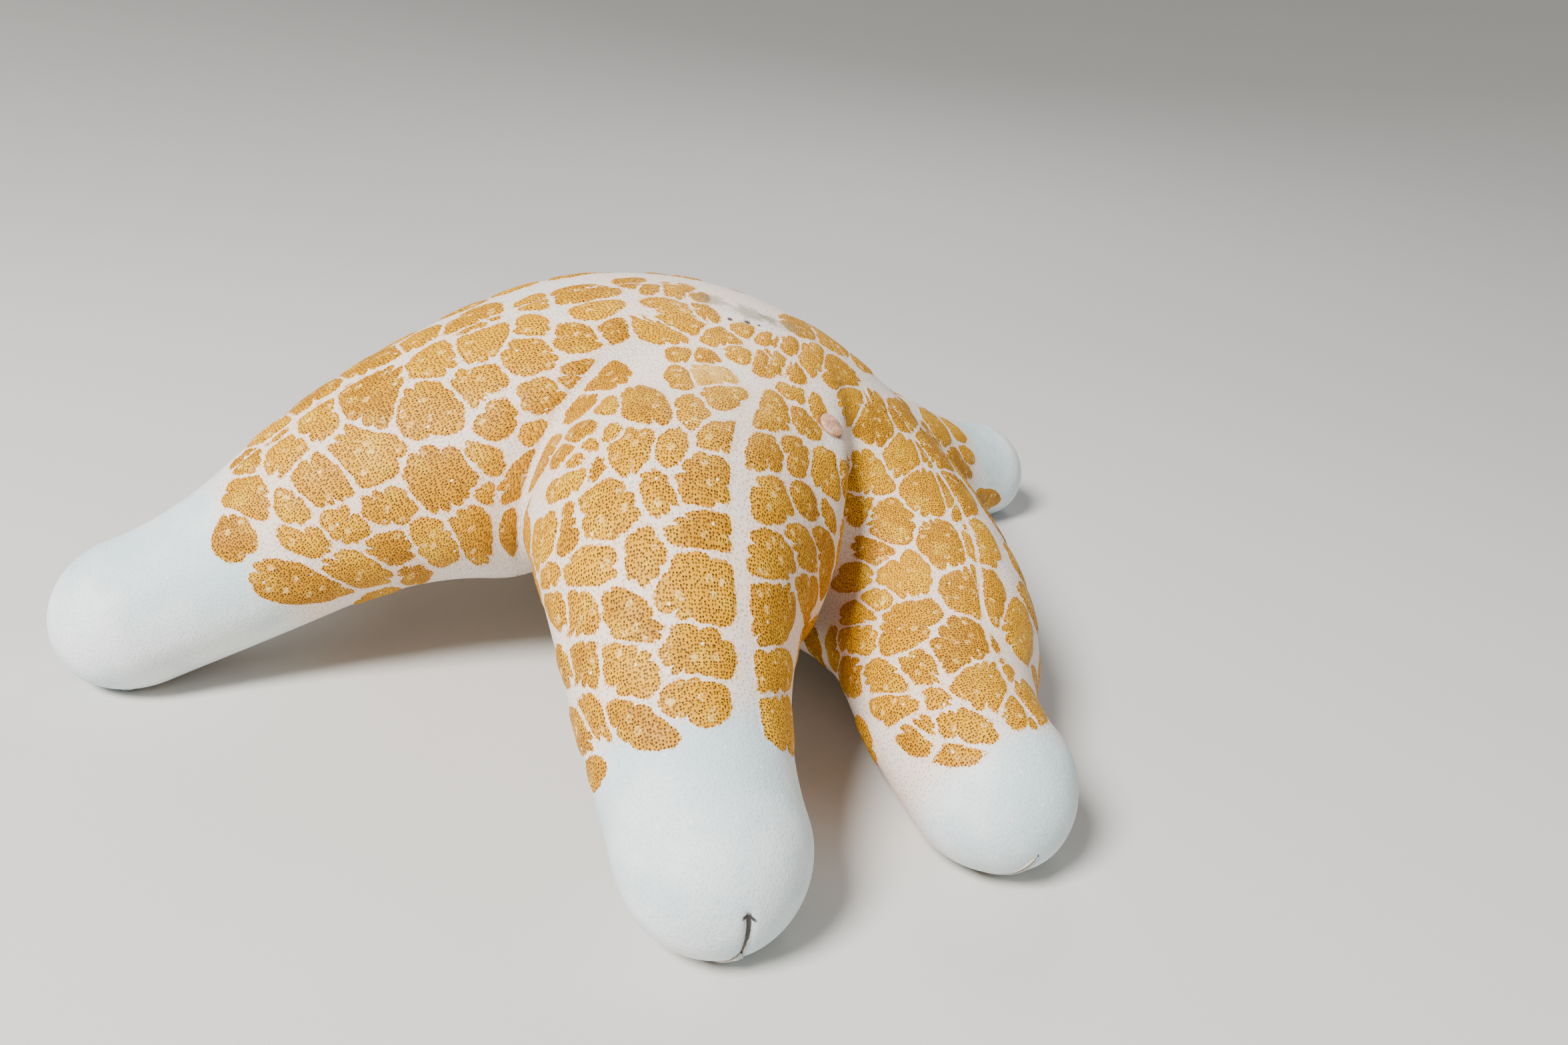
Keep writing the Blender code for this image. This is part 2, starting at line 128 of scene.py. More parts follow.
def turnFlat(points, angle):
    turned = points.copy()
    turned[..., 0] = points[..., 0] * math.cos(angle) - points[..., 1] * math.sin(angle)
    turned[..., 1] = points[..., 0] * math.sin(angle) + points[..., 1] * math.cos(angle)
    return turned


def bodyDistance(points):
    # minus fillet times the log of the sum over the arms of exp((half width - radius) / fillet),
    # cut softly by a plane at the sole's depth: below zero inside the flat star
    summed = np.zeros(points.shape[:-1])
    for line in armLines:
        local = turnFlat(points, -line)
        along, across, height = local[..., 0], local[..., 1], local[..., 2]
        above = height / alongArm(along, *starForm["topShares"])
        below = height / alongArm(along, *starForm["bottomShares"])
        raised = np.where(height > 0.0, above, below)
        beyond = np.maximum(0.0, along - starForm["straightEnd"]) + np.maximum(0.0, -along)
        radius = np.sqrt(across ** 2 + raised ** 2 + beyond ** 2)
        width = alongArm(along, starForm["baseHalfWidth"], starForm["tipHalfWidth"])
        summed += np.exp((width - radius) / starForm["fillet"])
    rounded = -starForm["fillet"] * np.log(summed)
    sole = -starForm["soleDepth"] - points[..., 2]
    share = np.clip(0.5 + 0.5 * (rounded - sole) / starForm["soleRounding"], 0.0, 1.0)
    return sole + (rounded - sole) * share + starForm["soleRounding"] * share * (1.0 - share)


def surfaceAlong(starts, directions):
    # halves the interval along each ray until it ends on the flat star's surface
    near = np.zeros(starts.shape[:-1])
    far = np.full(starts.shape[:-1], skinGrid["rayLength"])
    for _ in range(skinGrid["halvings"]):
        middle = (near + far) / 2.0
        inside = bodyDistance(starts + directions * middle[..., None]) < 0.0
        near = np.where(inside, middle, near)
        far = np.where(inside, far, middle)
    return starts + directions * ((near + far) / 2.0)[..., None]


# where the line between two arms meets the body's edge, as a place along either arm
notchLine = np.array([[math.cos(halfSector), math.sin(halfSector), 0.0]])
notch = float(surfaceAlong(np.zeros((1, 3)), notchLine)[0, 0])


def armRows():
    # places along an arm, even at first, closing up to the notch, opening out after it
    grid = skinGrid
    even = np.arange(0.0, grid["evenUntil"], grid["rowStep"])
    left = np.linspace(1.0, 0.0, grid["closingRows"] + 1)[:-1] ** 2
    closing = notch - (notch - grid["evenUntil"]) * left
    opening = notch + grid["openingLength"] * np.linspace(0.0, 1.0, grid["openingRows"] + 1) ** 1.5
    rest = starForm["straightEnd"] - opening[-1]
    straight = opening[-1] + np.linspace(0.0, rest, math.ceil(rest / grid["rowStep"]) + 1)[1:]
    places = np.concatenate([even, closing, opening, straight])
    lifts = np.linspace(0.0, math.pi / 2.0, grid["endRows"] + 1)[1:]
    return (
        np.concatenate([places, np.full(len(lifts), starForm["straightEnd"])]),
        np.concatenate([np.zeros(len(places)), lifts]),
    )


def fanLimits(places):
    # the widest ray angle over the top and underneath; inside the notch it meets the next arm's
    reach = np.maximum(0.0, places * math.tan(halfSector))
    limits = []
    for side in (1.0, -1.0):
        starts = np.stack([places, np.where(places < notch, reach, 0.0), np.zeros(len(places))], -1)
        edge = surfaceAlong(starts, np.tile([0.0, 0.0, side], (len(places), 1)))
        limits.append(np.where(places < notch, np.arctan2(reach, np.abs(edge[:, 2])), math.pi / 2.0))
    return limits


def grooveSize(places):
    # share of the groove's full width and depth, easing down to the slit at the arm's end
    start = starForm["grooveTaper"]
    return 1.0 + (starForm["grooveEnd"] - 1.0) * easeIn(places, start, starForm["straightEnd"] - start)


def armSurface():
    # One arm's skin as a grid. Rays fan out from the arm's line, over the top from one side to
    # the other and back underneath, and tip forward over the round end.
    grid = skinGrid
    places, lifts = armRows()
    topLimit, bottomLimit = fanLimits(places)
    depth = starForm["soleDepth"] + starForm["soleRounding"] / 4.0
    share = grooveSize(places)
    lip = np.minimum(np.arctan(starForm["grooveHalf"] * share / depth), starForm["lipShare"] * bottomLimit)
    floor = np.minimum(np.arctan(starForm["grooveFloor"] * share / depth), starForm["floorShare"] * bottomLimit)
    top = topLimit[:, None] * np.linspace(-1.0, 1.0, grid["topColumns"] + 1)
    side = np.linspace(1.0, 0.0, grid["sideColumns"] + 1)
    half = lip[:, None] + (bottomLimit - lip)[:, None] * side
    wall = lip[:, None] + (floor - lip)[:, None] * np.array([1.0 / 3.0, 2.0 / 3.0, 1.0])
    right = np.concatenate([half, wall, floor[:, None] * 0.5], 1)
    under = np.concatenate([right, np.zeros((len(places), 1)), -right[:, ::-1]], 1)
    angles = np.concatenate([top, math.pi - under], 1)
    lift = lifts[:, None] + np.zeros(angles.shape)
    directions = np.stack([np.sin(lift), np.cos(lift) * np.sin(angles), np.cos(lift) * np.cos(angles)], -1)
    starts = np.zeros(directions.shape)
    starts[..., 0] = places[:, None]
    points = surfaceAlong(starts, directions)
    first = grid["topColumns"] + 1
    edge = starForm["mouthRadius"] * starForm["mouthEdge"]
    opened = easeIn(places, edge, starForm["mouthRadius"] - edge)
    sink = starForm["grooveDepth"] * share * opened * np.cos(lifts)
    within = easeIn((lip[:, None] - np.abs(under)) / np.maximum(lip - floor, 1e-9)[:, None])
    points[:, first:] -= directions[:, first:] * (sink[:, None] * within)[..., None]
    fromMiddle = np.hypot(points[:, first:, 0], points[:, first:, 1])
    points[:, first:, 2] += starForm["mouthDepth"] * (1.0 - easeIn(fromMiddle / starForm["mouthRadius"]))
    return places, lifts, points, within


def surfacePlaces(places, lifts, points):
    # u runs along the arm and over its end, v is the length of surface from the arm's back line
    radius = starForm["tipHalfWidth"]
    along = (places + lifts * radius)[:, None] + np.zeros(points.shape[:2])
    steps = np.linalg.norm(np.diff(points, axis=1), axis=2)
    across = np.concatenate([np.zeros((len(points), 1)), np.cumsum(steps, 1)], 1)
    whole = across[:, -1:]
    across = across - across[:, skinGrid["topColumns"] // 2][:, None]
    middle = skinGrid["topColumns"] + 1 + grooveColumn
    across[:, middle + 1:] -= whole
    return along, across


def armCurve(droops, sweeps, line):
    # the arm's line in the pose: its heading and slope are evened out, then summed into points
    along = np.arange(0.0, starPose["lineLength"], starPose["lineStep"])
    window = np.hanning(starPose["lineWindow"])[1:-1]
    window = window / window.sum()
    droop, sweep = (
        np.convolve(np.pad(np.interp(along, starPose["places"], np.radians((0.0, *angles))),
                           len(window) // 2, mode="edge"), window, "valid")
        for angles in (droops, sweeps)
    )
    heading = line + sweep
    level = np.zeros(len(along))
    ahead = np.stack([np.cos(heading), np.sin(heading), level], -1)
    forward = ahead * np.cos(droop)[:, None]
    forward[:, 2] = -np.sin(droop)
    up = ahead * np.sin(droop)[:, None]
    up[:, 2] = np.cos(droop)
    sideways = np.stack([-np.sin(heading), np.cos(heading), level], -1)
    steps = (forward[1:] + forward[:-1]) * starPose["lineStep"] / 2.0
    axis = np.concatenate([np.zeros((1, 3)), np.cumsum(steps, 0)])
    return along, axis, forward, sideways, up


armCurves = [armCurve(arm[1], arm[2], line) for arm, line in zip(starPose["arms"], armLines)]


def tiltMatrix():
    turn = Matrix.Rotation(math.radians(starPose["frontHeading"]), 3, "Z")
    aboutX = Matrix.Rotation(math.radians(starPose["tiltX"]), 3, "X")
    aboutY = Matrix.Rotation(math.radians(starPose["tiltY"]), 3, "Y")
    return np.array(aboutY @ aboutX @ turn)


def carry(points):
    # Flat points into the pose: each rides on its arm's curve, and near the line between two
    # arms the two curves share it by an eased weight. Nothing goes below the floor.
    heading = np.arctan2(points[:, 1], points[:, 0])
    carried = np.zeros(points.shape)
    weights = np.zeros(len(points))
    spread = starPose["blendedSector"] - starPose["pureSector"]
    for line, (along, axis, forward, sideways, up) in zip(armLines, armCurves):
        away = np.abs((heading - line + math.pi) % (2.0 * math.pi) - math.pi)
        weight = 1.0 - easeIn(np.degrees(away), starPose["pureSector"], spread)
        local = turnFlat(points, -line)
        frames = [
            np.stack([np.interp(local[:, 0], along, part[:, i]) for i in range(3)], -1)
            for part in (axis, forward, sideways, up)
        ]
        placed = frames[0] + np.minimum(local[:, 0], 0.0)[:, None] * frames[1]
        placed += local[:, 1:2] * frames[2] + local[:, 2:3] * frames[3]
        carried += weight[:, None] * placed
        weights += weight
    carried = (carried / weights[:, None]) @ tiltMatrix().T
    carried[:, 2] += starPose["axisHeight"]
    carried -= np.array(starPose["middle"])
    carried[:, 2] = np.maximum(carried[:, 2], 0.0)
    return carried


rowPlaces, rowLifts, flatArm, grooveShare = armSurface()
alongU, acrossV = surfacePlaces(rowPlaces, rowLifts, flatArm)
rowCount, ringSize = alongU.shape
topCount = skinGrid["topColumns"] + 1
print("arm surface worked out:", rowCount, "rows of", ringSize)


# Shader values: one formula can then be worked out both as an array and as nodes
def addNode(tree, kind, **values):
    node = tree.nodes.new(kind)
    for name, value in values.items():
        setattr(node, name, value)
    return node


def feed(socket, value):
    # a socket takes a shader value, a number, a vector or a colour
    if isinstance(value, ShaderValue):
        socket.id_data.links.new(value.socket, socket)
    elif isinstance(value, tuple) and len(socket.default_value) == 4:
        socket.default_value = (*value, 1.0)
    else:
        socket.default_value = value


def feedAll(sockets, **values):
    # sockets by their names without spaces
    for socket in sockets:
        name = socket.name.replace(" ", "")
        if name in values:
            feed(socket, values[name])


class ShaderValue:
    # a node's output that can be added, subtracted and multiplied
    def __init__(self, socket):
        self.socket = socket
        self.tree = socket.id_data

    def __add__(self, other):
        return work("ADD", self, other)

    def __sub__(self, other):
        return work("SUBTRACT", self, other)

    def __rsub__(self, other):
        return work("SUBTRACT", other, self)

    def __mul__(self, other):
        return work("MULTIPLY", self, other)

    __radd__ = __add__
    __rmul__ = __mul__


def softMax(first, second, run):
    # the larger of two numbers, rounded where they meet, much as the node does over that run
    softness = run / 2.4
    return softness * np.logaddexp(first / softness, second / softness)


arrayForms = {
    "SINE": np.sin, "COSINE": np.cos, "SQRT": np.sqrt, "ABSOLUTE": np.abs, "ARCTAN2": np.arctan2,
    "MAXIMUM": np.maximum, "MINIMUM": np.minimum, "LESS_THAN": np.less, "SMOOTH_MAX": softMax,
}


def work(operation, *values, clamp=False):
    # an operation on shader values as a node, on arrays at once
    wired = [value for value in values if isinstance(value, ShaderValue)]
    if not wired:
        return arrayForms[operation](*values)
    node = addNode(wired[0].tree, "ShaderNodeMath", operation=operation, use_clamp=clamp)
    for socket, value in zip(node.inputs, values):
        feed(socket, value)
    return ShaderValue(node.outputs[0])


# Where the patches sit, in millimetres: along the arm, across it from its back line, half length,
# half width, and the turn of its length in degrees
patchPlaces = {
    "front": (
        (52, -46, 7.2, 4.0, 25), (74, -39, 6.6, 3.1, 80), (43, -31, 6.8, 3.2, 25),
        (49, -35, 5.3, 2.5, 15), (61, -30, 3.7, 1.9, 45), (63, -33, 3.7, 1.9, 45),
        (66, -29, 2.7, 1.9, 65), (70, -30, 4.3, 2.0, 80), (77, -30, 3.3, 3.1, -55),
        (80, -36, 4.2, 2.0, 55), (86, -34, 4.7, 2.2, 40), (94, -33, 4.2, 2.0, 45),
        (102, -32, 5.0, 2.4, 55), (109, -28, 2.6, 1.9, 75), (31, -21, 6.0, 2.9, 15),
        (57, -25, 3.0, 1.9, 45), (65, -21, 2.6, 1.9, 75), (65, -26, 2.3, 1.9, 50),
        (71, -24, 2.5, 2.1, -30), (76, -21, 4.3, 3.7, 70), (83, -25, 4.8, 2.3, 80),
        (89, -27, 4.1, 3.1, 65), (96, -26, 4.0, 3.5, 65), (102, -26, 4.1, 2.3, 25),
        (23, -14, 4.8, 2.3, 5), (25, -18, 7.2, 3.9, 5), (41, -16, 2.9, 2.1, 5), (41, -11, 3.0, 2.3, 5),
        (50, -14, 4.1, 2.0, 20), (60, -18, 5.7, 2.9, 40), (69, -10, 3.7, 2.4, -15),
        (69, -18, 3.9, 3.4, -35), (77, -11, 3.8, 2.5, 50), (84, -14, 3.1, 3.0, -25),
        (92, -17, 5.4, 2.8, 55), (99, -18, 5.4, 3.7, 65), (106, -18, 4.9, 2.7, 50),
        (27, -5, 3.0, 2.0, -20), (32, -9, 3.8, 3.5, 55), (36, -5, 3.6, 2.6, 30), (48, -8, 4.1, 3.4, 30),
        (54, -4, 4.4, 3.1, -25), (61, -8, 4.2, 2.5, 0), (65, -2, 4.0, 2.6, -50), (74, -4, 5.2, 3.4, -55),
        (81, -5, 5.3, 2.7, -85), (89, -6, 5.7, 4.2, -85), (98, -8, 5.3, 3.8, 85),
        (105, -9, 4.4, 3.2, 80), (25, 6, 4.4, 2.5, -15), (27, 1, 3.2, 2.3, -15), (35, 3, 5.3, 3.3, -15),
        (35, 7, 4.7, 2.7, 10), (53, 5, 6.0, 3.3, 5), (63, 8, 5.0, 3.4, -30), (89, 8, 6.4, 3.8, -50),
        (99, 8, 5.6, 3.3, -65), (107, 9, 5.2, 3.9, -70), (24, 11, 6.3, 3.1, -10), (41, 9, 3.5, 3.2, 35),
        (41, 13, 3.7, 2.3, 25), (48, 12, 3.9, 2.8, 30), (59, 12, 4.2, 3.6, 0), (66, 17, 4.2, 2.6, -65),
        (72, 10, 4.6, 3.2, -35), (81, 10, 6.2, 3.3, -60), (55, 21, 4.3, 3.6, 15), (62, 25, 2.8, 1.9, -90),
        (74, 20, 6.4, 3.0, -65), (78, 26, 7.1, 3.4, -60), (67, 30, 5.4, 3.5, -85),
    ),
    "right": (
        (94, -28, 6.6, 3.1, 40), (97, -32, 6.3, 3.0, 45), (54, -20, 5.5, 4.2, -5),
        (61, -24, 4.8, 3.2, 15), (75, -22, 5.3, 2.8, 20), (77, -27, 4.9, 2.9, 40),
        (89, -21, 4.0, 2.8, 35), (89, -27, 5.2, 2.5, 35), (105, -22, 6.0, 2.8, 40),
        (112, -22, 4.6, 2.2, 50), (119, -21, 3.9, 1.9, 25), (25, -15, 6.8, 4.2, 75),
        (34, -18, 6.8, 4.6, 70), (40, -11, 6.8, 5.0, -50), (67, -18, 6.1, 4.1, 10),
        (84, -16, 6.4, 4.0, 10), (98, -16, 5.9, 4.5, -50), (108, -15, 5.3, 3.3, 40),
        (115, -14, 4.1, 2.5, 15), (118, -18, 3.9, 2.1, 25), (121, -14, 4.5, 3.5, 45),
        (124, -17, 3.5, 2.0, 50), (12, -4, 6.8, 3.5, 85), (51, -8, 6.4, 3.6, -50),
        (62, -8, 6.7, 4.0, -25), (76, -8, 6.7, 3.7, 10), (89, -1, 6.8, 5.0, -5),
        (106, -6, 6.8, 4.4, -40), (114, -5, 6.4, 4.7, -45), (17, 3, 6.8, 4.7, -85),
        (24, 8, 5.5, 2.6, -80), (40, 2, 6.8, 3.5, -70), (49, 4, 6.8, 4.2, -55), (61, 2, 6.8, 4.0, -30),
        (74, 2, 6.6, 3.4, -15), (118, 1, 6.8, 3.3, -45), (92, 10, 6.8, 3.7, -10),
    ),
    "left": (
        (27, -1, 3.4, 1.9, 75), (50, -3, 5.2, 3.4, 75), (58, -5, 4.1, 2.8, 70), (66, -9, 7.2, 3.6, -80),
        (75, -7, 5.0, 3.6, 85), (84, -3, 4.6, 3.2, -80), (18, 8, 3.1, 1.9, 75), (21, 5, 5.2, 2.5, 75),
        (24, 4, 3.6, 1.9, 75), (34, 2, 4.1, 3.6, -50), (41, 0, 3.2, 2.1, 85), (52, 8, 5.3, 3.3, 70),
        (59, 7, 5.0, 3.7, 75), (68, 8, 7.2, 4.5, 80), (76, 6, 6.1, 2.9, -90), (83, 8, 4.4, 3.2, -80),
        (89, 1, 4.0, 2.8, 85), (26, 15, 3.0, 1.9, 70), (35, 11, 3.2, 3.0, 75), (44, 10, 4.1, 2.2, -85),
        (47, 17, 4.7, 3.5, -85), (55, 17, 4.7, 3.9, -80), (63, 16, 6.0, 4.9, -80),
        (81, 17, 6.1, 3.6, -80), (92, 9, 4.2, 3.0, -80), (98, 14, 3.6, 2.8, 60), (34, 20, 4.0, 1.9, 70),
        (40, 18, 4.1, 2.8, -75), (55, 26, 4.4, 2.5, 85), (73, 18, 7.2, 4.2, -70), (87, 18, 4.3, 2.4, 90),
        (87, 25, 4.9, 2.7, -60), (48, 30, 5.5, 2.6, -85), (58, 33, 4.3, 2.0, -70),
        (65, 30, 6.1, 4.6, -60), (74, 29, 4.8, 3.7, -5), (81, 27, 4.8, 3.8, -60),
        (83, 35, 5.9, 3.5, -55), (93, 30, 6.3, 3.0, -45), (51, 37, 3.3, 1.9, -80),
        (59, 40, 3.6, 1.9, -60), (63, 44, 5.8, 2.8, -80), (70, 40, 4.8, 3.7, -85),
        (75, 43, 4.8, 2.8, -85), (76, 37, 5.4, 3.7, -65), (55, 54, 4.1, 1.9, -75),
    ),
    "backRight": (
        (111, -28, 6.2, 3.0, -10), (92, -21, 6.0, 2.9, -20), (84, -12, 5.6, 4.3, 70),
    ),
    "backLeft": (),
}

# How the patches look and how the unlisted rows are filled in, in millimetres
patchLook = {
    "seed": 41,
    "grown": 1.58,            # the listed half sizes times this, so that neighbours nearly meet
    "firstRow": 7.5,          # from the back line to the middle of the first row
    "rowPitch": 10.2,
    "rows": 6,
    "alongPitch": 9.6,
    "start": 8.0,
    "end": (98.0, 101.0, 104.0, 106.0, 106.0, 104.0),
    "rowShift": 3.0,          # each row starts this much further out
    "halfSize": 5.3,
    "smallNear": (0.62, 14.0, 45.0),   # share of that size near the disc, where it grows, over what
    "smallFar": (0.10, 85.0, 30.0),    # share lost towards the end, from where, over what
    "lowRows": 1.12,          # growth of the rows from the fourth on
    "longSpread": (0.95, 1.28),
    "wideSpread": (0.80, 1.0),
    "pitchSpread": (0.92, 1.08),
    "filledSides": {"front": (20.0, 24.0), "right": (14.0, 24.0), "backRight": (0.0, 0.0),
                    "backLeft": (0.0, 0.0), "left": (34.0, 12.0)},   # rows beyond these are filled
    "filledTo": {"left": 90.0},        # an arm whose filled rows end sooner
    "lowest": -0.0120,        # no patch's middle lies below this height of the flat star
    "clearance": 0.62,        # of the sum of two half sizes
    "gap": 0.50,              # pale line between two patches that nearly meet
    "cornerRun": 1.92,        # a patch's corners are rounded over this length
    "lobeWidth": 5.2,
    "fewestLobes": 5,
    "cleftLeast": 0.05,       # depth of the clefts between the lobes, in sizes of the patch
    "cleftMost": 0.25,
    "oval": 0.055,            # how much the ellipse swells, three times round
    "thickness": 9.0,         # how far a patch reaches inward, so that it stays on its own side
    "faded": 0.02,            # share of the front arm's patches that are paler than the rest
    "creaseHalf": 1.3,        # pale line between two arms
    "creaseRoom": 2.8,        # from that line to the nearest filled patch's middle
    "creaseFrom": 20.0,       # where that line starts
}


def skinSpot(u, v):
    # the grid point of one arm nearest to a place, its two directions over the surface, outward
    miss = (alongU * 1000.0 - u) ** 2 + (acrossV * 1000.0 - v) ** 2
    row, column = np.unravel_index(np.argmin(miss), miss.shape)
    row = min(max(row, 1), rowCount - 2)
    column = min(max(column, 1), ringSize - 2)
    across = flatArm[row, column + 1] - flatArm[row, column - 1]
    forward = flatArm[row + 1, column] - flatArm[row - 1, column]
    outward = unit(np.cross(forward, across))
    if outward @ (flatArm[row, column] - np.array([rowPlaces[row], 0.0, 0.0])) < 0.0:
        outward = -outward
    across = unit(across)
    return flatArm[row, column], np.cross(across, outward), across, outward


def halfGirth(u):
    # from the back line down to the lowest height for a patch's middle, in millimetres
    row = min(int(np.searchsorted(alongU[:, 0] * 1000.0, u)), rowCount - 1)
    side = slice(topCount // 2, topCount + skinGrid["sideColumns"] if u > notch * 1000.0 else topCount)
    above = flatArm[row, side, 2] > patchLook["lowest"]
    return acrossV[row, side][above].max() * 1000.0


def fillRows(name, known, rng):
    # Rows of patches on the sides of an arm that have none listed, staggered from row to row.
    # A patch is left out below the lowest height, near the line between two arms or near another.
    look = patchLook
    nearSize, growFrom, growRun = look["smallNear"]
    farLoss, shrinkFrom, shrinkRun = look["smallFar"]
    made = []
    for side, beyond in zip((1.0, -1.0), look["filledSides"][name]):
        for row in range(look["rows"]):
            v = look["firstRow"] + row * look["rowPitch"]
            if v < beyond:
                continue
            u = look["start"] + (row % 2) * look["alongPitch"] / 2.0 + look["rowShift"] * row
            larger = look["lowRows"] if row > 2 else 1.0
            while u < look["filledTo"].get(name, look["end"][row]):
                grown = nearSize + (1.0 - nearSize) * float(easeIn(u, growFrom, growRun))
                grown -= farLoss * float(easeIn(u, shrinkFrom, shrinkRun))
                long = look["halfSize"] * grown * rng.uniform(*look["longSpread"]) * larger
                wide = look["halfSize"] * grown * rng.uniform(*look["wideSpread"]) * larger
                along, across = u + rng.uniform(-1.0, 1.0), side * (v + rng.uniform(-1.0, 1.0))
                u += look["alongPitch"] * (nearSize + (1.0 - nearSize) * grown) * rng.uniform(*look["pitchSpread"])
                nearCrease = look["creaseFrom"] < along < notch * 1000.0
                if abs(across) > halfGirth(along) - (look["creaseRoom"] if nearCrease else 0.0):
                    continue
                if any(math.hypot(along - k[0], across - k[1]) < look["clearance"] * (long + (k[2] + k[3]) / 2.0)
                       for k in known + made):
                    continue
                made.append((along, across, long, wide, rng.uniform(-90.0, 90.0)))
    return made


def listPatches():
    # Every patch as arrays: its spot on the flat star, the three rows that measure a point in
    # half lengths, half widths and thicknesses from it, its size, lobes and phase, tone and fading
    look = patchLook
    rng = np.random.default_rng(look["seed"])
    spots, rows, shapes, paints = [], [], [], []
    for line, (name, _, _) in zip(armLines, starPose["arms"]):
        listed = [(u, v, look["grown"] * long, look["grown"] * wide, turn)
                  for u, v, long, wide, turn in patchPlaces[name]]
        for u, v, long, wide, turn in listed + fillRows(name, listed, rng):
            spot, forward, across, outward = (turnFlat(part, line) for part in skinSpot(u, v))
            cosine, sine = math.cos(math.radians(turn)), math.sin(math.radians(turn))
            spots.append(spot)
            rows.append(1000.0 * np.stack([
                (forward * cosine + across * sine) / long,
                (across * cosine - forward * sine) / wide,
                outward / look["thickness"],
            ]))
            size = math.sqrt(long * wide)
            lobes = max(look["fewestLobes"], round(2.0 * math.pi * size / look["lobeWidth"]))
            shapes.append((size, lobes, rng.uniform(0.0, 6.28)))
            tone, chance = rng.uniform(0.0, 1.0), rng.uniform(0.0, 1.0)
            paints.append((tone, float(chance < look["faded"] and name == "front"), 0.0))
    print("patches:", len(spots))
    return np.array(spots), np.array(rows), np.array(shapes), np.array(paints)


def patchBeyond(x, y, away, size, lobes, phase):
    # Millimetres past a patch's plain outline, below zero inside, and how far that outline dips.
    # It is an ellipse that swells three times round; it dips in clefts between round lobes, by
    # one less the root of |cos(half the lobes times the bent angle)|, deeper on two sides.
    look = patchLook
    angle = work("ARCTAN2", y, x)
    bent = angle + work("SINE", angle + phase) * 0.30 + work("SINE", angle * 2.0 + phase * 1.7) * 0.15
    scallop = work("SQRT", work("ABSOLUTE", work("COSINE", lobes * bent * 0.5 + phase)))
    sided = work("MAXIMUM", work("SINE", angle * 2.0 + phase * 2.3), 0.0)
    depth = sided * sided * (look["cleftMost"] - look["cleftLeast"]) + look["cleftLeast"]
    swell = work("COSINE", angle * 3.0 + phase * 3.1) * look["oval"] + 1.0
    return (away - swell) * size, depth * (1.0 - scallop) * size


def patchEdge(beyond, dips, limit):
    # How far past the edge of the patches: the nearest one's outline, pale lines where two are
    # equally near, no patch past the limit, all rounded where they meet; then the dips
    look = patchLook
    first, second, third = beyond
    least = work("MINIMUM", first, second)
    edge = least
    for other in (work("MAXIMUM", first, second), third):
        apart = work("ABSOLUTE", other - least)
        edge = work("SMOOTH_MAX", edge, (look["gap"] - apart) * 0.5, look["cornerRun"])
    edge = work("SMOOTH_MAX", edge, limit, look["cornerRun"])
    return edge + dips[0] + work("LESS_THAN", second, first) * (dips[1] - dips[0])


def nearestThree(middles, spots, rows, sizes):
    # for each face, the three patches whose plain ellipses lie nearest to its middle
    away = np.stack([
        (np.linalg.norm((middles - spot) @ row.T, axis=1) - 1.0) * size
        for spot, row, size in zip(spots, rows, sizes)
    ])
    return np.argsort(away, axis=0)[:3]


skinLook = {
    "inset": 0.00012,       # the skin lies this far inside the solid's surface
    "relief": 0.00040,      # how far the patches stand above the pale ground
    "reliefRun": 1.6,       # over how many millimetres they rise
    "paleFrom": (0.107, 0.126, 0.105, 0.105, 0.098),   # where each arm's pale end starts
    "paleRun": 0.009,
    # pale band along each arm's back: its middle and half width, in millimetres, and where it starts
    "bands": ((1.6, 1.2), (0.0, 0.4), (0.0, 0.6), (0.0, 0.6), (0.0, 0.3)),
    "bandFrom": 38.0,
    "bandRun": 20.0,
    "soleFrom": 0.0128,     # the underside's plain skin starts at this depth of the flat star
    "soleRun": 0.0027,
    "discRadius": 0.034,    # the lines between the arms fade out inside it
    "discRun": 0.012,
    "discRoom": 3.0,        # on the disc, patches may reach this much further, in millimetres
    "creaseDots": 7.0,      # darker dots beside those lines, over how many millimetres
    "armShift": 0.2,        # between the arms' places on the pattern's map
    "slitHalf": 0.9,        # the dent of the slit in an arm's end, in millimetres
    "slitDepth": 0.00055,
    "slitTop": 8.6,
    "slitSlant": 0.43,      # how far the slit leans to the arm's right as it rises
    "slitDrop": (0.0, 30.0, 3.0, 2.0, 3.5),   # how much lower it sits on each arm, in millimetres
}


def gridFaces(rows, size, first, last):
    # quads between each row and the next, for the columns from first up to last
    row, column = np.meshgrid(np.arange(rows - 1), np.arange(first, last), indexing="ij")
    a = (row * size + column).ravel()
    return np.stack([a, a + 1, a + 1 + size, a + size], -1)


def ringFaces(rings, size):
    # quads between each closed ring of points and the next
    row, column = np.meshgrid(np.arange(rings - 1) * size, np.arange(size), indexing="ij")
    after = (column + 1) % size
    return np.stack([row + column, row + size + column, row + size + after, row + after], -1).reshape(-1, 4).tolist()


def fanFaces(tip, first, size, turned=False):
    # triangles from one point to a closed ring that starts at the point "first"
    ring = np.arange(size)
    pair = [first + (ring + 1) % size, first + ring] if turned else [first + ring, first + (ring + 1) % size]
    return np.stack([np.full(size, tip), *pair], -1).tolist()


def newMesh(name, points, faces):
    mesh = bpy.data.meshes.new(name)
    mesh.from_pydata(points.tolist(), [], faces)
    mesh.shade_smooth()
    made = bpy.data.objects.new(name, mesh)
    bpy.context.scene.collection.objects.link(made)
    return made


def readAll(items, label, size=1, kind=float):
    # a number or vector of each point, corner or face of a mesh, as an array
    values = np.empty(len(items) * size, dtype=kind)
    items.foreach_get(label, values)
    return values.reshape(-1, size) if size > 1 else values


def readValues(mesh, name, size=1):
    return readAll(mesh.attributes[name].data, "value" if size == 1 else "vector", size)


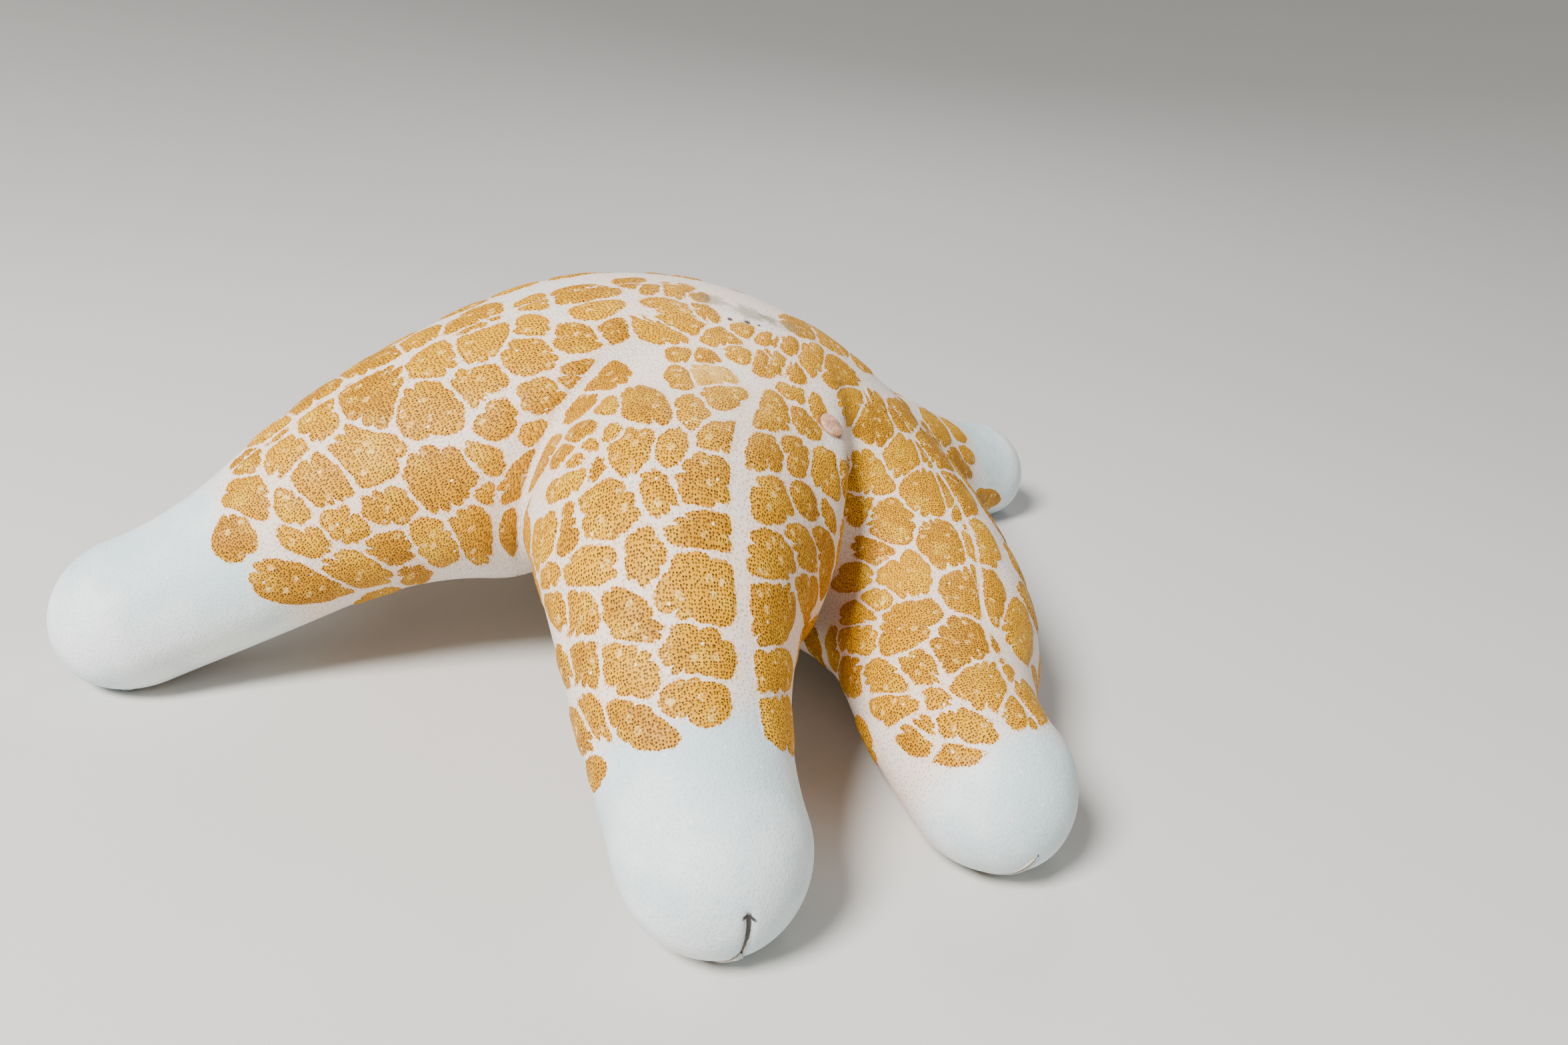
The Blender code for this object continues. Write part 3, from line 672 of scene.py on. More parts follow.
def writeValues(mesh, name, values, domain="POINT"):
    kind, label = ("FLOAT", "value") if values.ndim == 1 else ("FLOAT_VECTOR", "vector")
    layer = mesh.attributes.get(name) or mesh.attributes.new(name, kind, domain)
    layer.data.foreach_set(label, values.astype(np.float32).ravel())


def weld(mesh):
    # joins points that lie within a hundredth of a millimetre of each other
    loose = bmesh.new()
    loose.from_mesh(mesh)
    bmesh.ops.remove_doubles(loose, verts=loose.verts, dist=0.00001)
    bmesh.ops.recalc_face_normals(loose, faces=loose.faces)
    loose.to_mesh(mesh)
    loose.free()


def paintPatches(mesh, flat, limit):
    # Gives every corner its place in the three nearest patches and every face their shapes and
    # paints, and returns for each point how far it lies past the nearest outline
    spots, rows, shapes, paints = listPatches()
    corner = readAll(mesh.loops, "vertex_index", kind=np.int32)
    cornerCount = readAll(mesh.polygons, "loop_total", kind=np.int32)
    starts = np.cumsum(cornerCount) - cornerCount
    middles = np.add.reduceat(flat[corner], starts, axis=0) / cornerCount[:, None]
    nearest = nearestThree(middles, spots, rows, shapes[:, 0])
    beyond, dips = [], []
    for letter, index in zip("ABC", nearest):
        each = np.repeat(index, cornerCount)
        place = np.einsum("nij,nj->ni", rows[each], flat[corner] - spots[each])
        writeValues(mesh, "place" + letter, place, "CORNER")
        writeValues(mesh, "shape" + letter, shapes[index], "FACE")
        writeValues(mesh, "paint" + letter, paints[index], "FACE")
        past, dip = patchBeyond(*place[:, :2].T, np.linalg.norm(place, axis=1), *shapes[each].T)
        beyond.append(past)
        dips.append(dip)
    edge = patchEdge(beyond, dips, limit[corner])
    return np.bincount(corner, edge, len(flat)) / np.maximum(np.bincount(corner, minlength=len(flat)), 1)


def buildSkin():
    # One skin over the whole star. Each arm's grid is turned to its line, carried into the pose
    # and welded to its neighbours; then it sinks by the relief wherever there is no patch.
    look = skinLook
    count = starForm["armCount"]
    armPoints = flatArm.reshape(-1, 3)

    def perArm(values):
        return np.repeat(np.array(values), len(armPoints), axis=0)

    flat = np.concatenate([turnFlat(armPoints, line) for line in armLines])
    armFaces = np.concatenate([
        gridFaces(rowCount, ringSize, 0, topCount - 1),
        gridFaces(rowCount, ringSize, topCount, ringSize - 1),
    ])
    faces = np.concatenate([armFaces + k * len(armPoints) for k in range(count)])
    made = newMesh("skin", carry(flat), faces.tolist())
    mesh = made.data
    u = np.tile(alongU.ravel(), count)
    v = np.tile(acrossV.ravel(), count)
    corner = faces.ravel()
    shift = perArm(range(count)) * look["armShift"]
    layer = mesh.uv_layers.new(name="surface")
    layer.data.foreach_set("uv", np.stack([u[corner] + shift[corner], v[corner]], -1).ravel())
    groove = np.zeros(alongU.shape)
    groove[:, topCount:] = grooveShare
    ends = np.tile((armPoints - np.array([starForm["straightEnd"], 0.0, 0.0])) * 1000.0, (count, 1))
    ends[:, 2] += perArm(look["slitDrop"])
    ends[:, 1] += look["slitSlant"] * ends[:, 2]
    writeValues(mesh, "flat", flat)
    writeValues(mesh, "endPlace", ends)
    writeValues(mesh, "groove", np.tile(groove.ravel(), count))
    writeValues(mesh, "pastPale", u - perArm(look["paleFrom"]))
    bandMiddle, bandHalf = perArm(look["bands"]).T
    grownHalf = bandHalf * easeIn(u * 1000.0, look["bandFrom"], look["bandRun"])
    writeValues(mesh, "insideBand", grownHalf - np.abs(v * 1000.0 - bandMiddle))
    weld(mesh)
    points = readAll(mesh.vertices, "co", 3)
    flat = readValues(mesh, "flat", 3)
    below = easeIn(-flat[:, 2], look["soleFrom"], look["soleRun"])
    heading = np.arctan2(flat[:, 1], flat[:, 0])
    nearLine = np.abs((heading / (2.0 * halfSector)) % 1.0 - 0.5) * 2.0 * halfSector
    fromMiddle = np.hypot(flat[:, 0], flat[:, 1])
    crease = fromMiddle * np.sin(nearLine) * 1000.0
    outward = easeIn(fromMiddle, look["discRadius"], look["discRun"])
    # no patch on the underside, on the lines between the arms or on the pale bands
    limit = np.maximum((patchLook["creaseHalf"] - crease) * outward, below * 6.0 - 2.0)
    limit -= (1.0 - outward) * look["discRoom"] * (below < 0.1)
    limit = np.maximum(limit, readValues(mesh, "insideBand"))
    edge = paintPatches(mesh, flat, limit)
    writeValues(mesh, "patchLimit", np.maximum(limit, -12.0))
    writeValues(mesh, "below", below)
    writeValues(mesh, "crease", np.exp(-(crease / look["creaseDots"]) ** 2) * outward)
    writeValues(mesh, "paleEnd", easeIn(readValues(mesh, "pastPale") / look["paleRun"] + 0.5))
    normals = readAll(mesh.vertex_normals, "vector", 3)
    sunk = look["inset"] + look["relief"] * (1.0 - easeIn(-edge / look["reliefRun"] + 0.35)) * (1.0 - below)
    # the dent of the slit fades out inwards, below and above
    x, y, z = readValues(mesh, "endPlace", 3).T
    slit = np.exp(-(y / look["slitHalf"]) ** 2) * easeIn(x, 0.0, 3.0) * easeIn(z, -3.0, 2.0)
    sunk += look["slitDepth"] * slit * easeIn((look["slitTop"] + 0.8 - z) / 1.6)
    placed = points - normals * sunk[:, None]
    placed[:, 2] = np.where(points[:, 2] < 0.000001, 0.0, np.maximum(placed[:, 2], 0.0))
    mesh.vertices.foreach_set("co", placed.ravel())
    mesh.update()
    for name in ("flat", "pastPale", "insideBand"):
        mesh.attributes.remove(mesh.attributes[name])
    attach(made, "root")
    return made


skin = buildSkin()
flesh = ["disc"] + [f"arm_{name}_{part}" for name in ("front", "right", "back_right", "back_left", "left")
                    for part in ("base", "middle", "tip")]
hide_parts(*flesh)
print("skin:", len(skin.data.vertices), "points")

# The dome that takes the place of the sieve plate, in metres
sieveLook = {
    "along": 0.0464,         # from the middle of the star
    "heading": 22.4,         # degrees from the front arm's line
    "radius": 0.00268,
    "base": 0.00010,         # the dome starts this far above the skin
    "rise": 0.00036,
    "furrows": 24,
    "furrowDepth": 0.00010,
    "furrowBend": (2.4, 5.0),   # how far the furrows wander as they go outwards, and how often
    "furrowSway": (1.2, 3.0),   # how far they sway round the dome, and how often
    "furrowRun": 2.2,
    "skirt": 0.0012,
    "rings": 24,
    "sides": 96,
}


def buildSievePlate():
    # A low dome: height = base + rise times (1 - share squared), less furrows that wander, half of
    # 1 + cos(furrows times the angle + bend sin(5 share) + sway sin(3 angle)); a skirt drops into
    # the skin at its edge
    look = sieveLook
    heading = math.radians(look["heading"])
    middle = look["along"] * np.array([math.cos(heading), math.sin(heading), 0.0])
    # three points of the body's surface close together give its slope there
    starts = middle + np.array([(0.0, 0.0, 0.0), (0.0008, 0.0, 0.0), (0.0, 0.0008, 0.0)])
    origin, ahead, beside = carry(surfaceAlong(starts, np.tile([0.0, 0.0, 1.0], (3, 1))))
    outward = unit(np.cross(ahead - origin, beside - origin))
    first = unit(ahead - origin)
    second = np.cross(outward, first)
    share = np.concatenate([np.linspace(0.0, 1.0, look["rings"] + 1)[1:], [1.0]])[:, None]
    angle = fullTurn(look["sides"])[None, :]
    (bend, bends), (sway, sways) = look["furrowBend"], look["furrowSway"]
    wander = bend * np.sin(bends * share) + sway * np.sin(sways * angle)
    furrow = 0.5 + 0.5 * np.cos(look["furrows"] * angle + wander)
    height = look["base"] + look["rise"] * (1.0 - share ** 2)
    height = height - look["furrowDepth"] * furrow * easeIn(share * look["furrowRun"])
    height[-1] = -look["skirt"]
    radius = (look["radius"] * share)[..., None]
    points = origin + radius * (np.cos(angle)[..., None] * first + np.sin(angle)[..., None] * second)
    points = (points + height[..., None] * outward).reshape(-1, 3)
    ends = np.array([origin + (look["base"] + look["rise"]) * outward, origin - look["skirt"] * outward])
    size = look["sides"]
    faces = ringFaces(look["rings"] + 1, size) + fanFaces(len(points), 0, size)
    faces += fanFaces(len(points) + 1, look["rings"] * size, size, True)
    made = newMesh("plate_dome", np.concatenate([points, ends]), faces)
    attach(made, "root")
    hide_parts("sieve_plate")
    return made, origin


sievePlate, sieveMiddle = buildSievePlate()
print("sieve plate built")

# The tube feet in two rows along each groove, and the short spines along its two edges, in metres
underLook = {
    "seed": 7,
    "feetFrom": 0.0165,
    "feetTo": 0.121,
    "feetStep": 0.0021,
    "footOffset": 0.00125,
    "footRadius": 0.00052,
    "footRoot": 0.0010,       # how deep a foot is rooted above the groove's floor
    "footClearance": 0.0006,  # from a sucker to the level of the sole
    "footLengths": (0.80, 1.0),
    "footLeans": (0.0006, 0.0003, 0.0),
    # share of the length and of the radius, from the root to the sucker
    "footProfile": ((0.0, 0.9), (0.25, 0.95), (0.55, 0.85), (0.80, 0.80), (0.90, 1.45), (0.97, 1.60), (1.0, 1.30)),
    "spinesFrom": 0.0085,
    "spinesTo": 0.119,
    "spineStep": 0.00165,
    "spineLength": 0.0021,
    "spineLeast": 0.55,       # share of the full size in the slit at the arm's end
    "spineRadius": 0.00046,
    "spineRoot": 0.0007,
    "spineOffset": 0.0007,    # outwards from the groove's edge
    "spineTilt": 0.0008,      # back over the groove
    "spineLengths": (0.85, 1.1),
    "spineLeans": (0.0003, 0.0002, 0.0),
    "spineProfile": ((0.0, 1.0), (0.4, 1.1), (0.75, 0.95), (0.95, 0.55)),
    "mouthFrom": 0.008,       # to here the spines round the mouth are longer, by this share
    "mouthRun": 0.010,
    "mouthGrowth": 0.5,
    "mouthLean": 0.0020,
    "sides": 8,
    "patch": 0.003,           # size on the bake map of each small part's own piece
    "footMap": 0.02,          # a row's distance on that map from the middle
    "spineMap": 0.03,
}


def turnedParts(name, roots, leans, lengths, radii, bakeSpots, profile):
    # Many small turned parts as one mesh: root + share times the length downwards + the lean times
    # the square of the share + radius times (cos, sin) round it, for each ring of the profile
    sides = underLook["sides"]
    share, width = (np.array(column)[None, :, None] for column in zip(*profile))
    angle = fullTurn(sides)[None, None, :]
    radius = radii[:, None, None] * width
    points = roots[:, None, None, :] + leans[:, None, None, :] * (share ** 2)[..., None]
    points = points + np.stack([
        radius * np.cos(angle),
        radius * np.sin(angle),
        -lengths[:, None, None] * share + 0.0 * angle,
    ], -1)
    count, rings = len(roots), len(profile)
    block = np.concatenate([points.reshape(count, -1, 3), points.mean(axis=2)[:, [0, -1]]], 1)
    size = rings * sides
    first = np.arange(count)[:, None, None] * (size + 2)
    quads = first + np.array(ringFaces(rings, sides))[:, ::-1]
    fans = first + np.array(fanFaces(size, 0, sides, True) + fanFaces(size + 1, size - sides, sides))
    faces = quads.reshape(-1, 4).tolist() + fans.reshape(-1, 3).tolist()
    made = newMesh(name, carry(block.reshape(-1, 3)), faces)
    mesh = made.data
    # on the bake map each part is a disc: its rings lie inside one another
    around = np.stack([np.cos(angle + 0.0 * share), np.sin(angle + 0.0 * share)], -1)
    around = (around * (0.15 + 0.35 * share[..., None])).reshape(-1, 2)
    local = np.concatenate([around, np.zeros((2, 2))]) * underLook["patch"]
    spots = (bakeSpots[:, None, :] + local[None]).reshape(-1, 2)
    layer = mesh.uv_layers.new(name="OFBake")
    corner = readAll(mesh.loops, "vertex_index", kind=np.int32)
    layer.data.foreach_set("uv", spots[corner].astype(np.float32).ravel())
    writeValues(mesh, "length", np.tile(np.concatenate([np.repeat(share.ravel(), sides), [0.0, 1.0]]), count))
    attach(made, "root")
    return made


def grooveLine(column, places):
    # points of one column of the arm's grid at some places along it
    straight = rowLifts == 0.0
    return np.stack([np.interp(places, rowPlaces[straight], flatArm[straight, column, i]) for i in range(3)], -1)


def footRow(side, rng):
    # one row of feet beside the groove's middle: roots, leans, lengths, radii, places
    look = underLook
    places = np.arange(look["feetFrom"], look["feetTo"], look["feetStep"])
    places = places + (side + 1.0) * look["feetStep"] / 4.0
    share = grooveSize(places)
    roots = grooveLine(topCount + grooveColumn, places) + np.array([0.0, 0.0, look["footRoot"]])
    roots[:, 1] += side * look["footOffset"] * share
    leans = rng.uniform(-1.0, 1.0, (len(places), 3)) * np.array(look["footLeans"]) * share[:, None]
    reach = starForm["grooveDepth"] * share - look["footClearance"]
    lengths = look["footRoot"] + reach * rng.uniform(*look["footLengths"], len(places))
    return roots, leans, lengths, look["footRadius"] * share ** 0.5, places


def spineRow(side, rng):
    # one row of spines along the groove's edge, longer round the mouth
    look = underLook
    places = np.arange(look["spinesFrom"], look["spinesTo"], look["spineStep"])
    share = look["spineLeast"] + (1.0 - look["spineLeast"]) * grooveSize(places)
    near = 1.0 + look["mouthGrowth"] * (1.0 - easeIn(places, look["mouthFrom"], look["mouthRun"]))
    edge = topCount + skinGrid["sideColumns"] if side < 0.0 else ringSize - 1 - skinGrid["sideColumns"]
    roots = grooveLine(edge, places) + np.array([0.0, 0.0, look["spineRoot"]])
    outward = np.sign(roots[:, 1:2]) * np.array([[0.0, 1.0, 0.0]])
    roots = roots + outward * look["spineOffset"]
    leans = outward * -look["spineTilt"] - np.array([1.0, 0.0, 0.0]) * (near - 1.0)[:, None] * look["mouthLean"]
    leans = leans + rng.uniform(-1.0, 1.0, (len(places), 3)) * np.array(look["spineLeans"])
    lengths = look["spineLength"] * share * near * rng.uniform(*look["spineLengths"], len(places))
    return roots, leans, lengths, look["spineRadius"] * share * near, places


def buildUnderside():
    look = underLook
    rng = np.random.default_rng(look["seed"])
    kinds = (("tube_feet", footRow, look["footMap"], look["footProfile"]),
             ("groove_spines", spineRow, look["spineMap"], look["spineProfile"]))
    lists = {name: [] for name, _, _, _ in kinds}
    for arm, line in enumerate(armLines):
        for side in (-1.0, 1.0):
            for name, makeRow, mapPlace, _ in kinds:
                roots, leans, lengths, radii, places = makeRow(side, rng)
                bake = np.stack([places + arm * skinLook["armShift"], 0.5 + side * mapPlace + 0.0 * places], -1)
                lists[name].append((turnFlat(roots, line), turnFlat(leans, line), lengths, radii, bake))
    made = []
    for name, _, _, profile in kinds:
        made.append(turnedParts(name, *(np.concatenate(each) for each in zip(*lists[name])), profile))
        print(name.replace("_", " ") + ":", sum(len(each[0]) for each in lists[name]))
    return made


tubeFeet, grooveSpines = buildUnderside()


def output(tree, kind, name, **values):
    # one output of a new node
    return ShaderValue(addNode(tree, kind, **values).outputs[name])


def attributeOf(tree, name, kind="Fac"):
    return output(tree, "ShaderNodeAttribute", kind, attribute_name=name)


def objectPlace(tree):
    return output(tree, "ShaderNodeTexCoord", "Object")


def between(operation, *vectors):
    # the length of a vector or the distance between two
    node = addNode(vectors[0].tree, "ShaderNodeVectorMath", operation=operation)
    for socket, vector in zip(node.inputs, vectors):
        feed(socket, vector)
    return ShaderValue(node.outputs["Value"])


def parts(vector):
    node = addNode(vector.tree, "ShaderNodeSeparateXYZ")
    feed(node.inputs[0], vector)
    return [ShaderValue(socket) for socket in node.outputs]


def ramp(value, low, high, fromValue=0.0, toValue=1.0):
    # goes smoothly from one number to another as the value goes from low to high
    node = addNode(value.tree, "ShaderNodeMapRange", interpolation_type="SMOOTHSTEP")
    feedAll(node.inputs[:5], Value=value, FromMin=low, FromMax=high, ToMin=fromValue, ToMax=toValue)
    return ShaderValue(node.outputs["Result"])


def mixed(share, first, second, kind="RGBA"):
    # two colours or vectors mixed by a share
    node = addNode(share.tree, "ShaderNodeMix", data_type=kind)
    sockets, result = {"RGBA": ((0, 6, 7), 2), "VECTOR": ((0, 4, 5), 1)}[kind]
    for socket, value in zip(sockets, (share, first, second)):
        feed(node.inputs[socket], value)
    return ShaderValue(node.outputs[result])


def tint(red, green, blue):
    # a colour as seen on a screen, 0 to 255, as the light that Blender works in
    return tuple(((c / 255.0 + 0.055) / 1.055) ** 2.4 if c > 10 else c / 255.0 / 12.92 for c in (red, green, blue))


def newGroup(name, inputs, outputs):
    # a node group from its sockets' names and kinds, with what it is given and a way to put out
    group = bpy.data.node_groups.new(name, "ShaderNodeTree")
    for sockets, direction in ((inputs, "INPUT"), (outputs, "OUTPUT")):
        for label, kind in sockets.items():
            group.interface.new_socket(name=label, in_out=direction, socket_type="NodeSocket" + kind)
    given = addNode(group, "NodeGroupInput").outputs
    return group, [ShaderValue(given[label]) for label in inputs], addNode(group, "NodeGroupOutput").inputs


def useGroup(tree, group, **values):
    node = addNode(tree, "ShaderNodeGroup", node_tree=group)
    feedAll(node.inputs, **values)
    return [ShaderValue(socket) for socket in node.outputs]


def buildPatchGroup():
    # the same outline and dips as in the mesh, worked out at every point of the picture
    group, (place, shape), put = newGroup("patch outline", {"Place": "Vector", "Shape": "Vector"},
                                          {"Beyond": "Float", "Dip": "Float"})
    x, y, _ = parts(place)
    beyond, dip = patchBeyond(x, y, between("LENGTH", place), *parts(shape))
    feedAll(put, Beyond=beyond, Dip=dip)
    return group


def buildPoreGroup():
    # Round pores in a nearly even net: the distance to the nearest of a flat Voronoi's points,
    # full up to 0.6 of the size and gone at the size
    group, (vector, perMetre, size, spread), put = newGroup(
        "pores",
        {"Vector": "Vector", "Per Metre": "Float", "Size": "Float", "Spread": "Float"},
        {"Pore": "Float", "Distance": "Float", "Chance": "Float"},
    )
    cells = addNode(group, "ShaderNodeTexVoronoi", voronoi_dimensions="2D", feature="F1")
    feedAll(cells.inputs, Vector=vector, Scale=perMetre, Randomness=spread)
    away = ShaderValue(cells.outputs["Distance"])
    inner = size * 0.60
    share = work("DIVIDE", away - inner, size - inner, clamp=True)
    feedAll(put, Pore=1.0 - share, Distance=away, Chance=parts(ShaderValue(cells.outputs["Color"]))[0])
    return group


def buildMarkGroup():
    # a soft round mark about a fixed place: 1 within its radius, 0 past its radius and edge
    group, (vector, middle, radius, edge, ragged), put = newGroup(
        "round mark",
        {"Vector": "Vector", "Middle": "Vector", "Radius": "Float", "Edge": "Float", "Ragged": "Float"},
        {"Mark": "Float"},
    )
    past = between("DISTANCE", vector, middle) + ragged - radius
    feedAll(put, Mark=1.0 - work("DIVIDE", past, edge, clamp=True))
    return group


patchGroup = buildPatchGroup()
poreGroup = buildPoreGroup()
markGroup = buildMarkGroup()


def noise(vector, scale, detail=3.0, rough=0.55):
    node = addNode(vector.tree, "ShaderNodeTexNoise")
    feedAll(node.inputs, Vector=vector, Scale=scale, Detail=detail, Roughness=rough)
    return ShaderValue(node.outputs["Fac"])


def newMaterial(name, roughness):
    material = bpy.data.materials.new(name)
    material.use_nodes = True
    shader = material.node_tree.nodes["Principled BSDF"].inputs
    feed(shader["Roughness"], roughness)
    return material, material.node_tree, shader


def addBump(shader, height, strength):
    bump = addNode(height.tree, "ShaderNodeBump")
    feedAll(bump.inputs, Strength=strength, Distance=1.0, Height=height)
    feed(shader["Normal"], ShaderValue(bump.outputs["Normal"]))


# The skin's colours, each with how strongly it covers what it is laid on
skinColours = {
    "ground": (tint(242, 220, 204), 1.0),
    "groundCool": (tint(230, 222, 214), 1.0),
    "halo": (tint(244, 206, 168), 0.50),
    "groundDot": (tint(140, 112, 102), 0.80),
    "paleEnd": (tint(228, 234, 234), 1.0),
    "paleEndCool": (tint(198, 216, 220), 1.0),
    "paleEndDot": (tint(150, 164, 168), 0.35),
    "ochre": (tint(223, 157, 4), 1.0),
    "ochreDeep": (tint(182, 121, 4), 1.0),
    "ochrePale": (tint(238, 185, 38), 0.65),
    "rim": (tint(203, 135, 4), 0.70),
    "dot": (tint(46, 24, 4), 1.0),
    "creaseDot": (tint(46, 24, 4), 0.35),
    "spot": (tint(246, 206, 124), 0.75),
    "faded": (tint(246, 206, 124), 1.0),
    "speck": (tint(252, 244, 228), 0.9),
    "below": (tint(206, 186, 162), 0.75),
    "groove": (tint(186, 148, 118), 0.8),
    # the slit's near-black line and its brownish rim are painted shade in and round the slit
    "slit": (tint(40, 27, 20), 0.92),
    "slitRim": (tint(150, 122, 98), 0.35),
    "grime": (tint(112, 110, 84), 0.62),
    "blackDot": (tint(26, 22, 18), 0.95),
    "plateRim": (tint(140, 90, 54), 0.8),
}

# How fine the skin's markings are
skinGrain = {
    # pores: number per metre, size in their net and how unevenly they lie
    "dots": (1850.0, 0.37, 0.66),
    "groundDots": (1450.0, 0.33, 0.85),
    "spots": (330.0, 0.26, 1.0),
    "specks": (120.0, 0.035, 1.0),
    # noises: number per metre, detail and roughness
    "broad": (55.0, 3.0, 0.55),
    "clouds": (210.0, 2.0, 0.55),
    "middling": (420.0, 4.0, 0.55),
    "fine": (1500.0, 3.0, 0.6),
    "ragged": (420.0, 1.0, 0.55),
    "raggedBy": 0.8,            # how far a patch's outline is ragged, in millimetres
    "scallopBy": 0.55,          # how far it bulges round each dot, and where it stands still
    "scallopMiddle": 0.42,
    "edgeHalf": 0.12,           # half the width over which a patch's colour comes in
    "grimeBy": 0.008,           # how ragged the grime is, in metres
    # heights in metres, up or down
    "fineBump": 0.00010,
    "middlingBump": 0.00018,
    "dotBump": -0.00006,
    "groundDotBump": -0.00003,
    "slitBump": -0.0003,
    "bumpStrength": 0.7,
    "roughness": (0.42, 0.58),
    "shine": 0.16,
}

# Small marks on the skin: the middle, radius and soft edge in millimetres
skinMarks = {
    "grime": (((20.5, 1.5, 75.2), 1.6, 3.4), ((12.4, 1.4, 77.2), 1.2, 3.2), ((28.6, 3.6, 72.8), 1.0, 3.0),
              ((24.5, 2.5, 74.0), 0.8, 2.6)),
    "blackDot": (((16.9, -5.3, 74.9), 0.45, 0.35), ((20.5, -3.8, 74.3), 0.55, 0.35), ((23.0, -3.0, 73.6), 0.30, 0.3)),
    "plateRim": ((tuple(1000.0 * float(c) for c in sieveMiddle), 3.0, 0.7),),
}


def lay(under, name, mask):
    # a named colour laid on another, as far as the mask lets it and by its own share
    colour, share = skinColours[name]
    return mixed(mask * share, under, colour)


def patchOutline(tree, place, dotDistance):
    # Millimetres past the nearest patch's edge, ragged at the scale of the dots, with that
    # patch's tone and fading
    beyond, dips = zip(*(
        useGroup(tree, patchGroup, Place=attributeOf(tree, "place" + letter, "Vector"),
                 Shape=attributeOf(tree, "shape" + letter, "Vector"))
        for letter in "ABC"
    ))
    nearer = work("LESS_THAN", beyond[1], beyond[0])
    paints = [attributeOf(tree, name, "Vector") for name in ("paintA", "paintB")]
    tone, fade, _ = parts(mixed(nearer, *paints, "VECTOR"))
    edge = patchEdge(beyond, dips, attributeOf(tree, "patchLimit"))
    ragged = (noise(place, *skinGrain["ragged"]) - 0.5) * skinGrain["raggedBy"]
    return edge + ragged + (dotDistance - skinGrain["scallopMiddle"]) * skinGrain["scallopBy"], tone, fade


def slitShadeMasks(tree, middling):
    # The slit in each arm's end, as painted shade: a fine dark line that widens upwards and ends in a
    # short bar, and a softer brownish rim round it. Places are in millimetres from the middle of the round end.
    x, y, z = parts(attributeOf(tree, "endPlace", "Vector"))
    off = work("ABSOLUTE", y + work("SINE", z * 0.8) * 0.10 + (middling - 0.5) * 0.6)
    outside = ramp(x, 1.0, 3.0)
    reach = outside * ramp(z, -3.0, -1.5) * ramp(z, 9.0, 8.2)
    line = ramp(off - ramp(z, 0.0, 8.2, 0.20, 0.42), 0.14, -0.06) * reach
    fromBar = work("ABSOLUTE", z + off * 0.4 - 8.2)
    bar = ramp(off, 1.5, 0.9) * ramp(fromBar, 0.40, 0.18) * outside
    return line, work("MAXIMUM", line, bar), ramp(off, 1.5, 0.2) * reach


def skinMaterial():
    material, tree, shader = newMaterial("star skin", 0.46)
    surface = output(tree, "ShaderNodeUVMap", "UV", uv_map="surface")
    place = objectPlace(tree)
    broad, clouds, middling, fine = (
        noise(place, *skinGrain[name]) for name in ("broad", "clouds", "middling", "fine")
    )
    nets = []
    for name in ("dots", "groundDots", "spots", "specks"):
        perMetre, size, spread = skinGrain[name]
        nets += useGroup(tree, poreGroup, Vector=surface, PerMetre=perMetre, Size=size, Spread=spread)
    dots, dotDistance, dotChance, groundDots, _, groundChance, spots, _, spotChance, specks, _, speckChance = nets
    outline, tone, fade = patchOutline(tree, place, dotDistance)

    # a patch: golden, deeper in places, peach clouds and pale spots, a fuller rim, dark dots
    patch = lay(skinColours["ochre"][0], "ochreDeep", ramp(tone * 0.45 + middling * 0.7, 0.30, 0.90))
    patch = lay(patch, "ochrePale", ramp(clouds, 0.50, 0.72))
    patch = lay(patch, "rim", ramp(outline, -0.75, -0.15))
    spots = spots * ramp(spotChance, 0.40, 0.50) * ramp(outline, -0.3, -0.9) * ramp(fine, 0.40, 0.56)
    patch = lay(patch, "spot", spots)
    dotted = dots * ramp(outline, 0.05, -0.30) * (1.0 - spots * 0.8)
    patch = lay(patch, "dot", dotted * ramp(dotChance, 0.0, 1.0, 0.70, 0.98))
    patch = lay(patch, "faded", fade * ramp(clouds, 0.35, 0.62, 0.1, 0.5))

    # the ground: pinkish white with faint dots, warmer beside a patch, cool and plain at the ends
    faint = groundDots * ramp(groundChance, 0.0, 1.0, 0.15, 0.75)
    ground = lay(skinColours["ground"][0], "groundCool", ramp(broad, 0.35, 0.7))
    ground = lay(ground, "halo", ramp(outline, 1.3, 0.05))
    ground = lay(ground, "groundDot", faint)
    ground = lay(ground, "creaseDot", dots * attributeOf(tree, "crease"))
    paleEnd = lay(skinColours["paleEnd"][0], "paleEndCool", ramp(broad, 0.36, 0.68))
    ground = mixed(attributeOf(tree, "paleEnd"), ground, lay(paleEnd, "paleEndDot", faint))
    for name in ("below", "groove"):
        ground = lay(ground, name, attributeOf(tree, name))
    colour = mixed(ramp(outline, skinGrain["edgeHalf"], -skinGrain["edgeHalf"]), ground, patch)
    colour = lay(colour, "speck", specks * ramp(speckChance, 0.45, 0.5))

    # grime and black dots on the disc, the darker ring round the sieve plate, the painted shade of the slits
    for kind, marks in skinMarks.items():
        ragged = (middling - 0.5) * skinGrain["grimeBy"] if kind == "grime" else 0.0
        for middle, radius, soft in marks:
            mark, = useGroup(tree, markGroup, Vector=place, Middle=tuple(c / 1000.0 for c in middle),
                             Radius=radius / 1000.0, Edge=soft / 1000.0, Ragged=ragged)
            colour = lay(colour, kind, mark)
    # painted shade of the slit at each arm's end: its dark line, the bar at its top and the rim round it
    line, slit, slitRim = slitShadeMasks(tree, middling)
    feed(shader["Base Color"], lay(lay(colour, "slitRim", slitRim), "slit", slit))

    # granules, dot dimples and slight wrinkles
    height = fine * skinGrain["fineBump"]
    for mask, name in ((middling, "middling"), (dotted, "dot"), (groundDots, "groundDot"), (line, "slit")):
        height = height + mask * skinGrain[name + "Bump"]
    addBump(shader, height, skinGrain["bumpStrength"])
    feed(shader["Roughness"], ramp(middling, 0.3, 0.7, *skinGrain["roughness"]))
    feed(shader["Specular IOR Level"], skinGrain["shine"])
    return material


